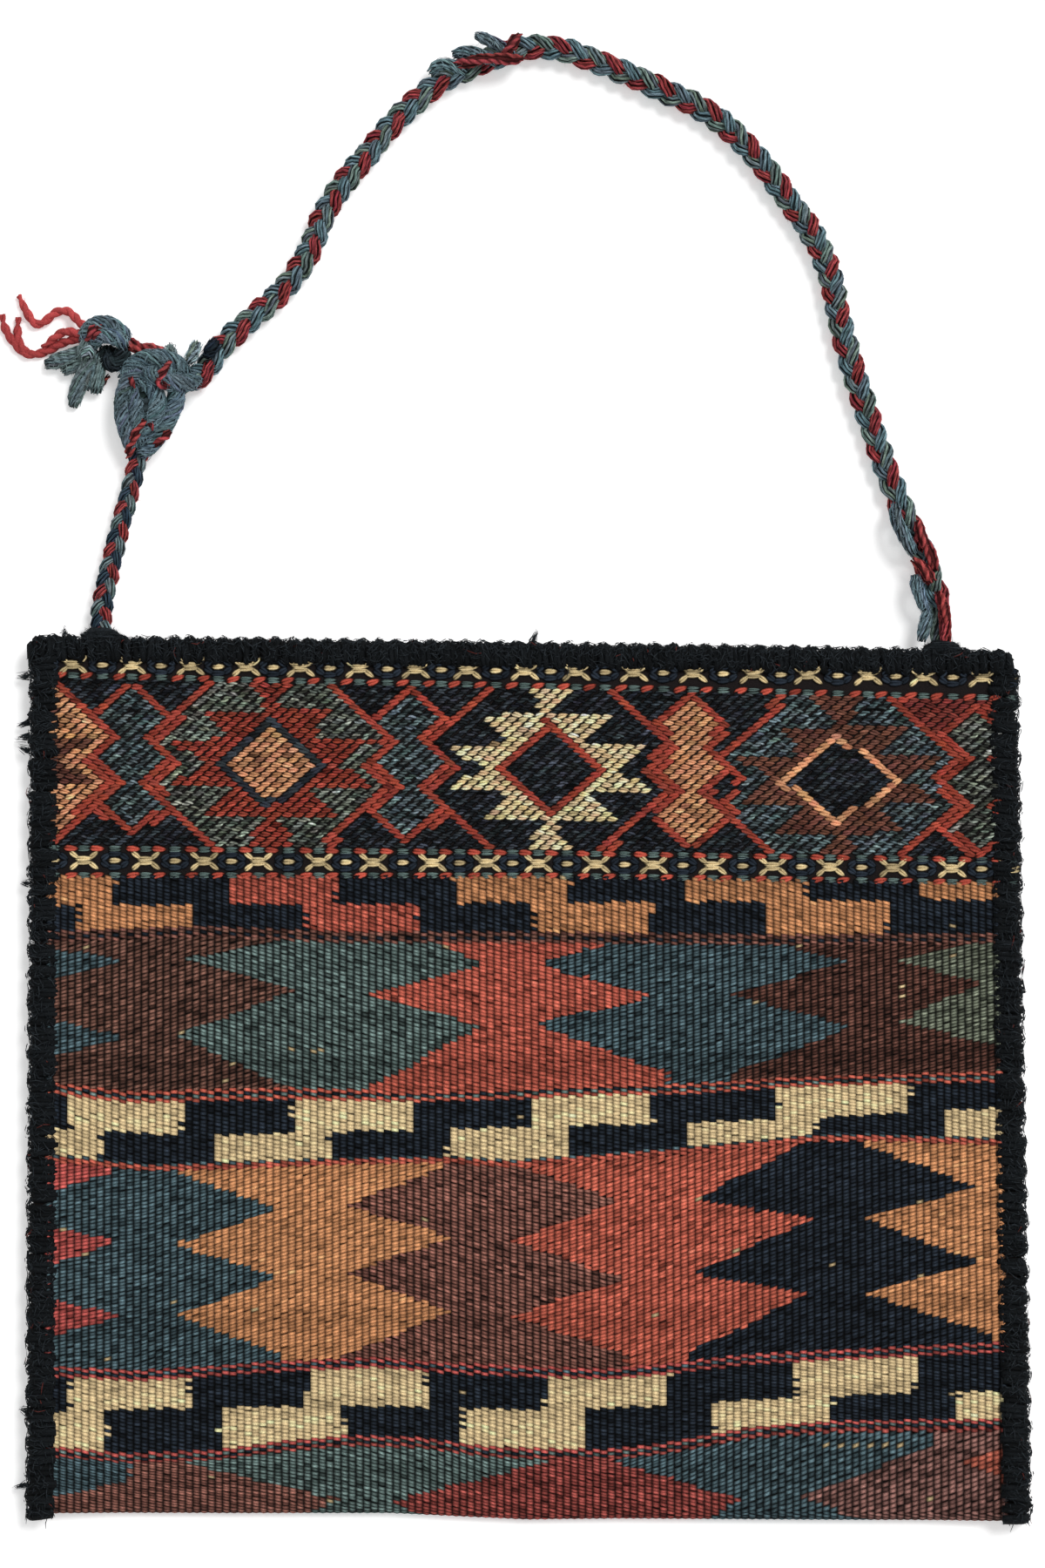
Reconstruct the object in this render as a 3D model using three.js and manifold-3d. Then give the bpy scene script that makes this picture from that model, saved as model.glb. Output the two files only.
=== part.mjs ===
// A hand-woven kilim bag lying on its back, with its plaited carrying strap laid out above the mouth.
// One cloth is folded at the bottom; hair bindings close the two sides and edge the two lips.
// Millimetres, +X to the right, +Y from the fold to the mouth, +Z up from the surface it lies on.
import * as THREE from "three";
import { mergeVertices } from "three/addons/utils/BufferGeometryUtils.js";
import Module from "manifold-3d";

const wasm = await Module();
wasm.setup();

// Driving dimensions of the bag
const bagWidth = 334;
const bagHeight = 295.4;
const clothThickness = 2.0;
const foldGap = 1.2;
const mouthOpening = 6.5;
const pocketRise = 5.5;

// How far the hand-woven outline leaves a true rectangle
const mouthDropRight = 5.2;
const foldDropRight = 2.6;
const leftLean = 1.3;
const rightLean = 4.5;

// Hair bindings, with slots that take the cloth's edges
const bindingWall = 1.2;
const bindingEdgeWall = 3.0;
const sideBindingWidth = 9.0;
const sideBindingTail = 1.2;
const mouthBindingWidth = 9.6;
const mouthCornerRadius = 6.5;
const clearance = 0.3;
const lipSlack = 1.5;
const socketClearance = 0.5;

// Strap, knots and loose ends
const strapDiameter = 8.6;
const whippingDiameter = 10.4;
const whippingHeight = 2.4;
const knotThickness = 14;
const knotRounding = 5;
const tailKnotWidth = 15;
const tailKnotHeight = 12.5;
const tailKnotThickness = 12;
const tailPlaitDiameter = 5.5;
const tuftThickness = 4.5;
const yarnDiameter = 3.1;
const floorClearance = 0.1;

// Lengths over which the walls settle from their edges to the middle
const edgeBlend = 28;
const foldBlend = 70;
const swellShare = 0.36;

// How finely the curved shapes are divided
const clothSteps = 24;
const curveSegments = 6;
const cordSides = 10;
const yarnSides = 8;
const drumSides = 20;
const ballSides = 18;
const ballRings = 12;
const mergeTolerance = 1e-4;

// Heights of the layers where the bindings hold them, from the surface up
const lift = bindingWall + clearance;
const lipThickness = clothThickness + 2 * lift;
const seamRise = lipThickness + clearance - clothThickness - foldGap;
const seamThickness = 2 * lipThickness + clearance;

const halfWidth = bagWidth / 2;
const halfHeight = bagHeight / 2;
const foldEdge = -halfHeight + sideBindingTail;
const mouthInner = halfHeight - mouthBindingWidth - clearance;
const strapRadius = strapDiameter / 2;
const yarnMiddle = yarnDiameter / 2 + floorClearance;
const tailMiddle = tailKnotThickness / 2;
const { clamp, lerp, smoothstep } = THREE.MathUtils;

// The rim of the mouth at a place across the bag, measured from the level of its left corner
function rimAt(x) {
  const left = -halfWidth + leftLean;
  const right = halfWidth - rightLean;
  return (-mouthDropRight * (x - left)) / (right - left);
}

// A strap's foot stands on its whipping, and the whipping on the rim
function footAt(x) {
  return [x, rimAt(x) + whippingHeight + 2 * clearance];
}

function lying(height, points) {
  return points.map(([x, y]) => [x, y, height]);
}

// Routes of the cords, from the level of the mouth's left corner up, chosen along their middle lines
const longStrapRoute = lying(strapRadius, [
  footAt(138), [138, 4.6], [136, 12.6], [133.3, 21], [130, 29.6], [125.2, 40], [120.9, 50.1], [117.1, 60.8],
  [113.2, 72.7], [108.9, 85.5], [105.2, 98.6], [102.6, 110.1], [99.6, 122.2], [94.2, 133.4], [86.6, 144],
  [78.6, 154.8], [70.9, 163.5], [63.2, 170.5], [55, 175.4], [46.3, 179.4], [37.3, 183.6], [28.3, 187.4],
  [19.6, 190.8], [12, 193.2], [4.8, 194.2], [-3.6, 193.2], [-13.4, 189.5], [-26, 184], [-35.2, 177.4],
  [-45, 168], [-54.1, 156.8], [-61.6, 148], [-67.6, 137.6], [-72.4, 125.6], [-80.4, 114], [-89.8, 105.4],
  [-97.4, 98.6], [-102.6, 93], [-106.2, 87.4], [-110.8, 83.8], [-115.9, 83.2],
]);
const shortStrapRoute = lying(strapRadius, [
  footAt(-141), [-141, 7.6], [-139.4, 15.6], [-137.2, 25.6], [-134.8, 35.2], [-132.4, 44.2], [-129.4, 55.6],
  [-127, 64.6],
]);
const tailRoute = lying(tailMiddle, [[-120.5, 90.6], [-126, 93.2], [-131, 96], [-137, 98.2]]);
const upperYarnRoute = [
  [-144, 99.7, tailMiddle], [-148.2, 102.6, 4.6], [-152, 106.4, 2.2], [-156.4, 106.4, yarnMiddle],
  [-160.4, 103.2, yarnMiddle], [-163.4, 102.6, yarnMiddle], [-166, 106, yarnMiddle], [-168.9, 112, yarnMiddle],
];
const lowerYarnRoute = [
  [-143.6, 96.2, tailMiddle], [-148.4, 97.2, 4.6], [-154, 96.2, 2.2], [-160.2, 93.2, yarnMiddle],
  [-166.4, 92.6, yarnMiddle], [-170.8, 96.8, yarnMiddle], [-173.6, 101.4, yarnMiddle],
  [-174.4, 105.6, yarnMiddle],
];
const knotCentre = new THREE.Vector2(-124.6, 76);
const tailKnotCentre = new THREE.Vector2(-139, 97.2);

// The bag's outline: a point of the true rectangle goes to its place on the leaning cloth
function leaned(across, along) {
  const rightward = across / bagWidth + 0.5;
  const upward = along / bagHeight + 0.5;
  const left = -halfWidth + leftLean * upward;
  const right = halfWidth - rightLean * upward;
  const top = halfHeight - mouthDropRight * rightward;
  const bottom = -halfHeight + foldDropRight * (1 - rightward);
  return { x: lerp(left, right, rightward), y: lerp(bottom, top, upward) };
}

// Share of the swelling that the middle of the front wall has at a place across the bag
function swell(across) {
  return smoothstep(halfWidth - Math.abs(across), sideBindingWidth, bagWidth * swellShare);
}

// The bindings lift the back wall's edges off the surface, where its middle lies flat
function backLift(across, along) {
  const fromSide = halfWidth - sideBindingWidth - Math.abs(across);
  const fromMouth = mouthInner - along;
  return lift * (1 - smoothstep(Math.min(fromSide, fromMouth), 0, edgeBlend));
}

function frontRise(across, along) {
  const fromFold = smoothstep(along, foldEdge + clothThickness, foldEdge + foldBlend);
  const towardMouth = smoothstep(along, mouthInner - foldBlend, mouthInner);
  const middle = lerp(pocketRise, mouthOpening - clearance, towardMouth);
  return fromFold * (seamRise + middle * swell(across));
}

function reshape(geometry, move) {
  const position = geometry.getAttribute("position");
  const point = new THREE.Vector3();
  for (let i = 0; i < position.count; i += 1) {
    point.fromBufferAttribute(position, i);
    move(point);
    position.setXYZ(i, point.x, point.y, point.z);
  }
  geometry.computeVertexNormals();
  return geometry;
}

function leanPoint(point) {
  const place = leaned(point.x, point.y);
  point.x = place.x;
  point.y = place.y;
}

function toSolid(geometry) {
  const bare = geometry.index ? geometry.toNonIndexed() : geometry.clone();
  bare.deleteAttribute("normal");
  bare.deleteAttribute("uv");
  const merged = mergeVertices(bare, mergeTolerance);
  return new wasm.Manifold(new wasm.Mesh({
    numProp: 3,
    vertProperties: merged.attributes.position.array,
    triVerts: new Uint32Array(merged.index.array),
  }));
}

function toGeometry(solid) {
  const mesh = solid.getMesh();
  const geometry = new THREE.BufferGeometry();
  geometry.setAttribute("position", new THREE.BufferAttribute(mesh.vertProperties, mesh.numProp));
  geometry.setIndex(new THREE.BufferAttribute(mesh.triVerts, 1));
  geometry.computeVertexNormals();
  return geometry;
}

function cut(geometry, tools) {
  let solid = toSolid(geometry);
  for (const tool of tools) {
    solid = solid.subtract(toSolid(tool));
  }
  return toGeometry(solid);
}

// A profile swept in X from -half to half, with steps that crowd toward the ends, where the corners are
function acrossBag(profile, half, steps) {
  const geometry = new THREE.ExtrudeGeometry(profile, { depth: 2, steps, curveSegments, bevelEnabled: false });
  const turn = new THREE.Matrix4().makeBasis(
    new THREE.Vector3(0, 1, 0), new THREE.Vector3(0, 0, 1), new THREE.Vector3(1, 0, 0));
  geometry.applyMatrix4(turn).translate(-1, 0, 0);
  return reshape(geometry, (point) => {
    point.x = half * Math.sin((point.x * Math.PI) / 2);
  });
}

// A profile swept in Y
function alongBag(profile, from, to) {
  const geometry = new THREE.ExtrudeGeometry(profile, { depth: to - from, curveSegments, bevelEnabled: false });
  return geometry.rotateX(Math.PI / 2).translate(0, to, 0);
}

// The folded cloth: a hairpin section, its points spread along both walls, swept from seam to seam
function clothGeometry() {
  const lip = halfHeight - bindingEdgeWall - lipSlack;
  const foldCentre = clothThickness + foldGap / 2;
  const foldLine = foldEdge + foldCentre;
  const wallPoints = 12;
  const foldPoints = 5;
  const outline = [];
  const stations = [];
  for (let i = 0; i <= wallPoints; i += 1) {
    stations.push(lerp(foldLine, mouthInner, i / wallPoints));
  }
  stations.push(lip);
  const wall = (places, height) => {
    outline.push(...places.map((along) => new THREE.Vector2(along, height)));
  };
  const turn = (radius, from, to) => {
    for (let i = 1; i < foldPoints; i += 1) {
      const angle = lerp(from, to, i / foldPoints);
      const place = new THREE.Vector2(radius * Math.cos(angle), radius * Math.sin(angle));
      outline.push(place.add(new THREE.Vector2(foldLine, foldCentre)));
    }
  };
  wall(stations, 0);
  wall(stations.toReversed(), clothThickness);
  turn(foldGap / 2, 1.5 * Math.PI, 0.5 * Math.PI);
  wall(stations, clothThickness + foldGap);
  wall(stations.toReversed(), 2 * clothThickness + foldGap);
  turn(clothThickness + foldGap / 2, 0.5 * Math.PI, 1.5 * Math.PI);
  const edge = halfWidth - bindingEdgeWall - clearance;
  const sheet = acrossBag(new THREE.Shape(outline), edge, clothSteps);
  return reshape(sheet, (point) => {
    const frontShare = clamp((point.z - clothThickness) / foldGap, 0, 1);
    point.z += backLift(point.x, point.y) + frontShare * frontRise(point.x, point.y);
    leanPoint(point);
  });
}

// A binding's section: round on the outside, with a slot that takes the cloth's edge from the inside
function bindingProfile(width, thickness) {
  const slotEnd = width - bindingEdgeWall;
  const slotLow = bindingWall;
  const slotHigh = thickness - bindingWall;
  const middle = thickness / 2;
  const profile = new THREE.Shape();
  profile.moveTo(0, 0);
  profile.lineTo(slotEnd, 0);
  profile.absellipse(slotEnd, middle, bindingEdgeWall, middle, -Math.PI / 2, Math.PI / 2, false, 0);
  profile.lineTo(0, thickness);
  profile.lineTo(0, slotHigh);
  profile.lineTo(slotEnd, slotHigh);
  profile.lineTo(slotEnd, slotLow);
  profile.lineTo(0, slotLow);
  profile.closePath();
  return profile;
}

// The section of a side binding reaches from its inner edge out to the bag's side
function sideBindingGeometry(side) {
  const profile = bindingProfile(sideBindingWidth, seamThickness);
  const strip = alongBag(profile, -halfHeight, mouthInner);
  strip.translate(halfWidth - sideBindingWidth, 0, 0);
  if (side < 0) {
    strip.rotateZ(Math.PI).translate(0, mouthInner - halfHeight, 0);
  }
  return reshape(strip, leanPoint);
}

// A mouth binding follows its lip: the front one bows up over the open mouth, both round off at the corners
function mouthBindingGeometry(isFront) {
  const inner = halfHeight - mouthBindingWidth;
  const profile = bindingProfile(mouthBindingWidth, lipThickness);
  const strip = acrossBag(profile, halfWidth, clothSteps);
  strip.translate(0, inner, isFront ? lipThickness + clearance : 0);
  return reshape(strip, (point) => {
    const intoCorner = Math.max(0, Math.abs(point.x) - (halfWidth - mouthCornerRadius));
    const rounded = mouthCornerRadius - Math.sqrt(mouthCornerRadius ** 2 - intoCorner ** 2);
    const kept = (mouthBindingWidth - rounded) / mouthBindingWidth;
    point.y = inner + (point.y - inner) * kept;
    if (isFront) {
      point.z += (mouthOpening - clearance) * swell(point.x);
    }
    leanPoint(point);
  });
}

// A free cord or yarn: a round section along its route. Grown by a clearance all round and at both ends,
// the same route makes the socket that the cord enters a knot by.
function cordGeometry(route, diameter, sides, steps, grow = 0) {
  const radius = diameter / 2 + grow;
  const ring = [];
  for (let i = 0; i < sides; i += 1) {
    const angle = (2 * Math.PI * i) / sides;
    ring.push(new THREE.Vector2(radius * Math.cos(angle), radius * Math.sin(angle)));
  }
  const points = route.map(([x, y, z]) => new THREE.Vector3(x, y, z));
  const prolong = (end, next) => {
    end.addScaledVector(end.clone().sub(next).normalize(), grow);
  };
  prolong(points[0], points[1]);
  prolong(points[points.length - 1], points[points.length - 2]);
  const extrudePath = new THREE.CatmullRomCurve3(points);
  return new THREE.ExtrudeGeometry(new THREE.Shape(ring), { steps, extrudePath, bevelEnabled: false });
}

const longStrap = (grow) => cordGeometry(longStrapRoute, strapDiameter, cordSides, 46, grow);
const shortStrap = (grow) => cordGeometry(shortStrapRoute, strapDiameter, cordSides, 8, grow);
const tailPlait = (grow) => cordGeometry(tailRoute, tailPlaitDiameter, cordSides, 6, grow);
const upperYarn = (grow) => cordGeometry(upperYarnRoute, yarnDiameter, yarnSides, 14, grow);
const lowerYarn = (grow) => cordGeometry(lowerYarnRoute, yarnDiameter, yarnSides, 14, grow);

// The black hair wound round a strap's foot, a low drum with softened edges seated on the rim
function whippingGeometry(x) {
  const radius = whippingDiameter / 2;
  const soft = whippingHeight / 4;
  const outline = [
    new THREE.Vector2(0, 0),
    new THREE.Vector2(radius - soft, 0),
    new THREE.Vector2(radius, soft),
    new THREE.Vector2(radius, whippingHeight - soft),
    new THREE.Vector2(radius - soft, whippingHeight),
    new THREE.Vector2(0, whippingHeight),
  ];
  return new THREE.LatheGeometry(outline, drumSides).translate(x, rimAt(x) + clearance, radius);
}

// The heart-shaped strap knot, drawn as an outline about its centre and rounded all over
function knotGeometry() {
  const heart = new THREE.Shape();
  heart.moveTo(-5, -12.5);
  heart.quadraticCurveTo(-9.5, -4, -8.5, 3.5);
  heart.quadraticCurveTo(-7, 11.5, 0.5, 13);
  heart.quadraticCurveTo(7.5, 14, 8.2, 5);
  heart.quadraticCurveTo(8.5, -5, 2.5, -11.5);
  heart.quadraticCurveTo(-1.5, -15.5, -5, -12.5);
  const knot = new THREE.ExtrudeGeometry(heart, {
    depth: knotThickness - 2 * knotRounding,
    bevelThickness: knotRounding,
    bevelSize: knotRounding,
    bevelSegments: 4,
    curveSegments,
  });
  return knot.translate(knotCentre.x, knotCentre.y, knotRounding);
}

function tailKnotGeometry(grow) {
  const knot = new THREE.SphereGeometry(0.5, ballSides, ballRings);
  knot.scale(tailKnotWidth + 2 * grow, tailKnotHeight + 2 * grow, tailKnotThickness + 2 * grow);
  return knot.translate(tailKnotCentre.x, tailKnotCentre.y, tailMiddle);
}

// The frayed ends fan out below the end knot
function tuftGeometry() {
  const outline = [
    [1.5, 0], [-3.5, 3], [-20, -6], [-17.5, -8.5], [-14.5, -8], [-13.5, -18.5], [-11, -21], [-8.5, -17],
    [-5.5, -12.5], [-2.5, -13],
  ];
  const fan = new THREE.Shape(outline.map(([x, y]) => new THREE.Vector2(x, y)));
  const bevel = tuftThickness / 4;
  const tuft = new THREE.ExtrudeGeometry(fan, {
    depth: tuftThickness - 2 * bevel,
    bevelThickness: bevel,
    bevelSize: bevel,
    bevelOffset: -bevel,
    bevelSegments: 1,
  });
  return tuft.translate(tailKnotCentre.x, tailKnotCentre.y, bevel);
}

function piece(name, geometry, colour) {
  const material = new THREE.MeshStandardMaterial({ color: colour, roughness: 0.95, metalness: 0 });
  const mesh = new THREE.Mesh(geometry, material);
  mesh.name = name;
  return mesh;
}

const madderRed = 0x9d5041;
const hairBlack = 0x212122;
const yarnBlue = 0x54666f;

const bag = new THREE.Group();
bag.add(piece("kilim_cloth", clothGeometry(), madderRed));
bag.add(piece("left_side_binding", sideBindingGeometry(-1), hairBlack));
bag.add(piece("right_side_binding", sideBindingGeometry(1), hairBlack));
bag.add(piece("front_mouth_binding", mouthBindingGeometry(true), hairBlack));
bag.add(piece("back_mouth_binding", mouthBindingGeometry(false), hairBlack));

const strap = new THREE.Group();
strap.position.y = halfHeight;
strap.add(piece("left_strap_whipping", whippingGeometry(shortStrapRoute[0][0]), hairBlack));
strap.add(piece("right_strap_whipping", whippingGeometry(longStrapRoute[0][0]), hairBlack));
strap.add(piece("strap_long", longStrap(), yarnBlue));
strap.add(piece("strap_short", shortStrap(), yarnBlue));
const strapSockets = [longStrap, shortStrap, tailPlait].map((cord) => cord(socketClearance));
strap.add(piece("strap_knot", cut(knotGeometry(), strapSockets), yarnBlue));
strap.add(piece("tail_plait", tailPlait(), madderRed));
const tailSockets = [tailPlait, upperYarn, lowerYarn].map((cord) => cord(socketClearance));
strap.add(piece("tail_knot", cut(tailKnotGeometry(0), tailSockets), yarnBlue));
const tuftCuts = [tailKnotGeometry(clearance), lowerYarn(socketClearance)];
strap.add(piece("tail_tuft", cut(tuftGeometry(), tuftCuts), yarnBlue));
strap.add(piece("upper_loose_yarn", upperYarn(), madderRed));
strap.add(piece("lower_loose_yarn", lowerYarn(), madderRed));

const group = new THREE.Group();
group.add(bag, strap);

export default group;
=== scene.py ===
"""Looks of a hand-woven kilim bag with a plaited strap, lying on its back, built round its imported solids.

Lengths are millimetres in the row frame until a mesh is made, with x to the right, y from the fold to the
mouth and z up; the cords' routes are in metres. Dyes are sRGB values up to 255.
"""

import math

import bpy
import numpy as np
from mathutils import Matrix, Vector


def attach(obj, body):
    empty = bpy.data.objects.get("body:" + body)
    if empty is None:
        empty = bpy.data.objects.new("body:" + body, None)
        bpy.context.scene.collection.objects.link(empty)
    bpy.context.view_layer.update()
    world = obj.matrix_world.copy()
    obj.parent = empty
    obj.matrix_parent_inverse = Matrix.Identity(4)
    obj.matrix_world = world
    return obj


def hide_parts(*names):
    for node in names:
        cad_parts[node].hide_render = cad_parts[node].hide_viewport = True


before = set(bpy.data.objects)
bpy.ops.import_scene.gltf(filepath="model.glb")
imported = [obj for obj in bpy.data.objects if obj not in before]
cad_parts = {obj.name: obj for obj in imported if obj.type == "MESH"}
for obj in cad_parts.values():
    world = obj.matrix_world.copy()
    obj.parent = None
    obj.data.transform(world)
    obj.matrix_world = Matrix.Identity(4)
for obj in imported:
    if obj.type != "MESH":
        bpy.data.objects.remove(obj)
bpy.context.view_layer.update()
chance = np.random.default_rng(11)
mm = 0.001

# Driving dimensions of the bag, as in the solids
bag_width = 334.0
bag_height = 295.4
cloth_thickness = 2.0
fold_gap = 1.2
mouth_opening = 6.5
pocket_rise = 5.5
mouth_drop_right = 5.2
fold_drop_right = 2.6
left_lean = 1.3
right_lean = 4.5
binding_wall = 1.2
binding_edge_wall = 3.0
side_binding_width = 9.0
side_binding_tail = 1.2
mouth_binding_width = 9.6
mouth_corner_radius = 6.5
clearance = 0.3
lip_slack = 1.5
edge_blend = 28.0
fold_blend = 70.0
swell_share = 0.36
strap_diameter = 8.6
yarn_diameter = 3.1

# Heights of the layers and lines of the cloth that follow from them
half_width = bag_width / 2
half_height = bag_height / 2
lift = binding_wall + clearance
lip_thickness = cloth_thickness + 2 * lift
seam_thickness = 2 * lip_thickness + clearance
seam_rise = lip_thickness + clearance - cloth_thickness - fold_gap
fold_radius = cloth_thickness + fold_gap / 2
fold_start = -half_height + side_binding_tail + fold_radius
mouth_inner = half_height - mouth_binding_width - clearance
lip_edge = half_height - binding_edge_wall - lip_slack
cloth_edge = half_width - binding_edge_wall - clearance

# Routes of the cords along their middle lines, from the level of the mouth's left corner up, in metres
long_strap_route = [
    (0.1380, -0.0018), (0.1380, 0.0046), (0.1360, 0.0126), (0.1333, 0.0210), (0.1300, 0.0296),
    (0.1252, 0.0400), (0.1209, 0.0501), (0.1171, 0.0608), (0.1132, 0.0727), (0.1089, 0.0855),
    (0.1052, 0.0986), (0.1026, 0.1101), (0.0996, 0.1222), (0.0942, 0.1334), (0.0866, 0.1440),
    (0.0786, 0.1548), (0.0709, 0.1635), (0.0632, 0.1705), (0.0550, 0.1754), (0.0463, 0.1794),
    (0.0373, 0.1836), (0.0283, 0.1874), (0.0196, 0.1908), (0.0120, 0.1932), (0.0048, 0.1942),
    (-0.0036, 0.1932), (-0.0134, 0.1895), (-0.0260, 0.1840), (-0.0352, 0.1774), (-0.0450, 0.1680),
    (-0.0541, 0.1568), (-0.0616, 0.1480), (-0.0676, 0.1376), (-0.0724, 0.1256), (-0.0804, 0.1140),
    (-0.0898, 0.1054), (-0.0974, 0.0986), (-0.1026, 0.0930), (-0.1062, 0.0874), (-0.1108, 0.0838),
    (-0.1159, 0.0832),
]
short_strap_route = [
    (-0.1410, 0.0026), (-0.1410, 0.0076), (-0.1394, 0.0156), (-0.1372, 0.0256), (-0.1348, 0.0352),
    (-0.1324, 0.0442), (-0.1294, 0.0556), (-0.1270, 0.0646),
]
upper_yarn_route = [
    (-0.1440, 0.0997, 0.0060), (-0.1482, 0.1026, 0.0046), (-0.1520, 0.1064, 0.0022),
    (-0.1564, 0.1064, 0.0014), (-0.1604, 0.1032, 0.0014), (-0.1634, 0.1026, 0.0014),
    (-0.1660, 0.1060, 0.0014), (-0.1689, 0.1120, 0.0014),
]
lower_yarn_route = [
    (-0.1436, 0.0962, 0.0060), (-0.1484, 0.0972, 0.0046), (-0.1540, 0.0962, 0.0022),
    (-0.1602, 0.0932, 0.0014), (-0.1664, 0.0926, 0.0014), (-0.1708, 0.0968, 0.0014),
    (-0.1736, 0.1014, 0.0014), (-0.1744, 0.1056, 0.0014),
]
lower_side_yarns = [
    [
        (-0.1478, 0.0988, 0.0060), (-0.1533, 0.0997, 0.0040), (-0.1573, 0.0973, 0.0030),
        (-0.1608, 0.0945, 0.0024),
    ],
    [
        (-0.1664, 0.0930, 0.0016), (-0.1688, 0.0962, 0.0016), (-0.1692, 0.1000, 0.0016),
        (-0.1690, 0.1046, 0.0016),
    ],
]

# Camera straight above, at the distance and lens that frame the bag and its strap as the photo does
view_middle = (-1.3, 97.2)
view_length = 522.0
camera_distance = 1500.0
sensor_size = 36.0


def dye(red, green, blue):
    """A colour read off as sRGB, in the linear values that shaders take."""
    shares = np.array([red, green, blue]) / 255
    return np.where(shares <= 0.04045, shares / 12.92, ((shares + 0.055) / 1.055) ** 2.4)


# Dyes of the wool, as its lit threads show them
navy = dye(40, 48, 58)
madder = dye(205, 104, 84)
brick = dye(202, 101, 83)
faded_red = dye(198, 93, 87)
deep_red = dye(163, 80, 73)
gold = dye(216, 150, 103)
purple_brown = dye(147, 98, 86)
brown = dye(120, 84, 72)
dark_brown = dye(104, 68, 58)
teal = dye(107, 127, 123)
blue = dye(84, 106, 113)
cream = dye(243, 215, 164)
grey_green = dye(123, 130, 112)
violet = dye(147, 105, 97)
coral = dye(190, 103, 84)
hair_black = dye(39, 44, 48)
strap_blue = dye(122, 146, 156)
strap_teal = dye(128, 146, 148)
strap_navy = dye(66, 86, 102)
strap_red = dye(180, 78, 80)
loose_red = dye(178, 72, 72)
# Painted shade: the dark seen between beads and stitches, given to the ground sheet's outside
ground_shadow = dye(26, 22, 22)
inside_wool = dye(104, 62, 52)

# Dyes of the wrapped field and its borders
field_red = dye(164, 72, 58)
field_green = dye(112, 118, 108)
field_gold = dye(222, 158, 116)
field_blue = dye(86, 100, 103)
field_brown = dye(117, 75, 62)
field_navy = dye(45, 50, 56)
field_cream = dye(252, 222, 172)
border_cream = dye(216, 194, 147)
maroon = dye(131, 60, 54)


def smooth(value, low, high):
    share = np.clip((value - low) / (high - low), 0, 1)
    return share * share * (3 - 2 * share)


def unit(vectors):
    return vectors / np.linalg.norm(vectors, axis=-1, keepdims=True)


# Shape of the cloth, whose fold hangs below a straight line by the sags at places across the bag

fold_sags = [(-157, 0.7), (-95, 0.4), (-45, 0), (0, 1.8), (30, 1.2), (95, 1.1), (157, 0.8)]
sag_reach = 30.0


def leaned_x(across, upward):
    """Place across the leaning bag of a point of the true rectangle; upward runs from 0 at the fold to 1."""
    left = -half_width + left_lean * upward
    right = half_width - right_lean * upward
    return left + (right - left) * (across / bag_width + 0.5)


def wall_line(x, along):
    """Height on the leaning bag of a line of the true rectangle."""
    rightward = x / bag_width + 0.5
    top = half_height - mouth_drop_right * rightward
    bottom = -half_height + fold_drop_right * (1 - rightward)
    return bottom + (top - bottom) * (along / bag_height + 0.5)


def flat_place(x, y):
    """The point of the true rectangle that a point of the leaning bag comes from."""
    top = wall_line(x, half_height)
    bottom = wall_line(x, -half_height)
    upward = (y - bottom) / (top - bottom)
    left = leaned_x(-half_width, upward)
    right = leaned_x(half_width, upward)
    return ((x - left) / (right - left) - 0.5) * bag_width, (upward - 0.5) * bag_height


def swell(across):
    return smooth(half_width - np.abs(across), side_binding_width, bag_width * swell_share)


def back_lift(across, along):
    from_side = half_width - side_binding_width - np.abs(across)
    from_mouth = mouth_inner - along
    return lift * (1 - smooth(np.minimum(from_side, from_mouth), 0, edge_blend))


def front_rise(across, along):
    fold_edge = fold_start - fold_radius
    from_fold = smooth(along, fold_edge + cloth_thickness, fold_edge + fold_blend)
    toward_mouth = smooth(along, mouth_inner - fold_blend, mouth_inner)
    middle = pocket_rise + (mouth_opening - clearance - pocket_rise) * toward_mouth
    return from_fold * (seam_rise + middle * swell(across))


def on_cloth(x, y, above):
    """Points over the cloth's outside, which as y falls runs down the front, round the fold, up the back."""
    start = wall_line(x, fold_start)
    past = start - y
    turn = np.clip(past / fold_radius, 0, np.pi)
    on_back = past > np.pi * fold_radius
    on_front = past <= 0
    height = np.where(on_back, start + past - np.pi * fold_radius, start - fold_radius * np.sin(turn))
    height = np.where(on_front, y, height)
    across, along = flat_place(x, height)
    rise = back_lift(across, along) + np.where(on_front, front_rise(across, along), 0)
    z = fold_radius * (1 + np.cos(turn)) + rise + above * np.cos(turn)
    near_fold = 1 - smooth(height, start - fold_radius, start + sag_reach)
    sag = near_fold * np.interp(x, *np.transpose(fold_sags))
    return np.stack([x + 0 * z, height - above * np.sin(turn) - sag, z], axis=-1)


# Helpers for objects and nodes


def add_object(name, data):
    made = bpy.data.objects.new(name, data)
    bpy.context.scene.collection.objects.link(made)
    return made


def set_inputs(node, **values):
    for socket, value in values.items():
        node.inputs[socket.replace("_", " ")].default_value = value


# Pieces made of many like elements


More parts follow.
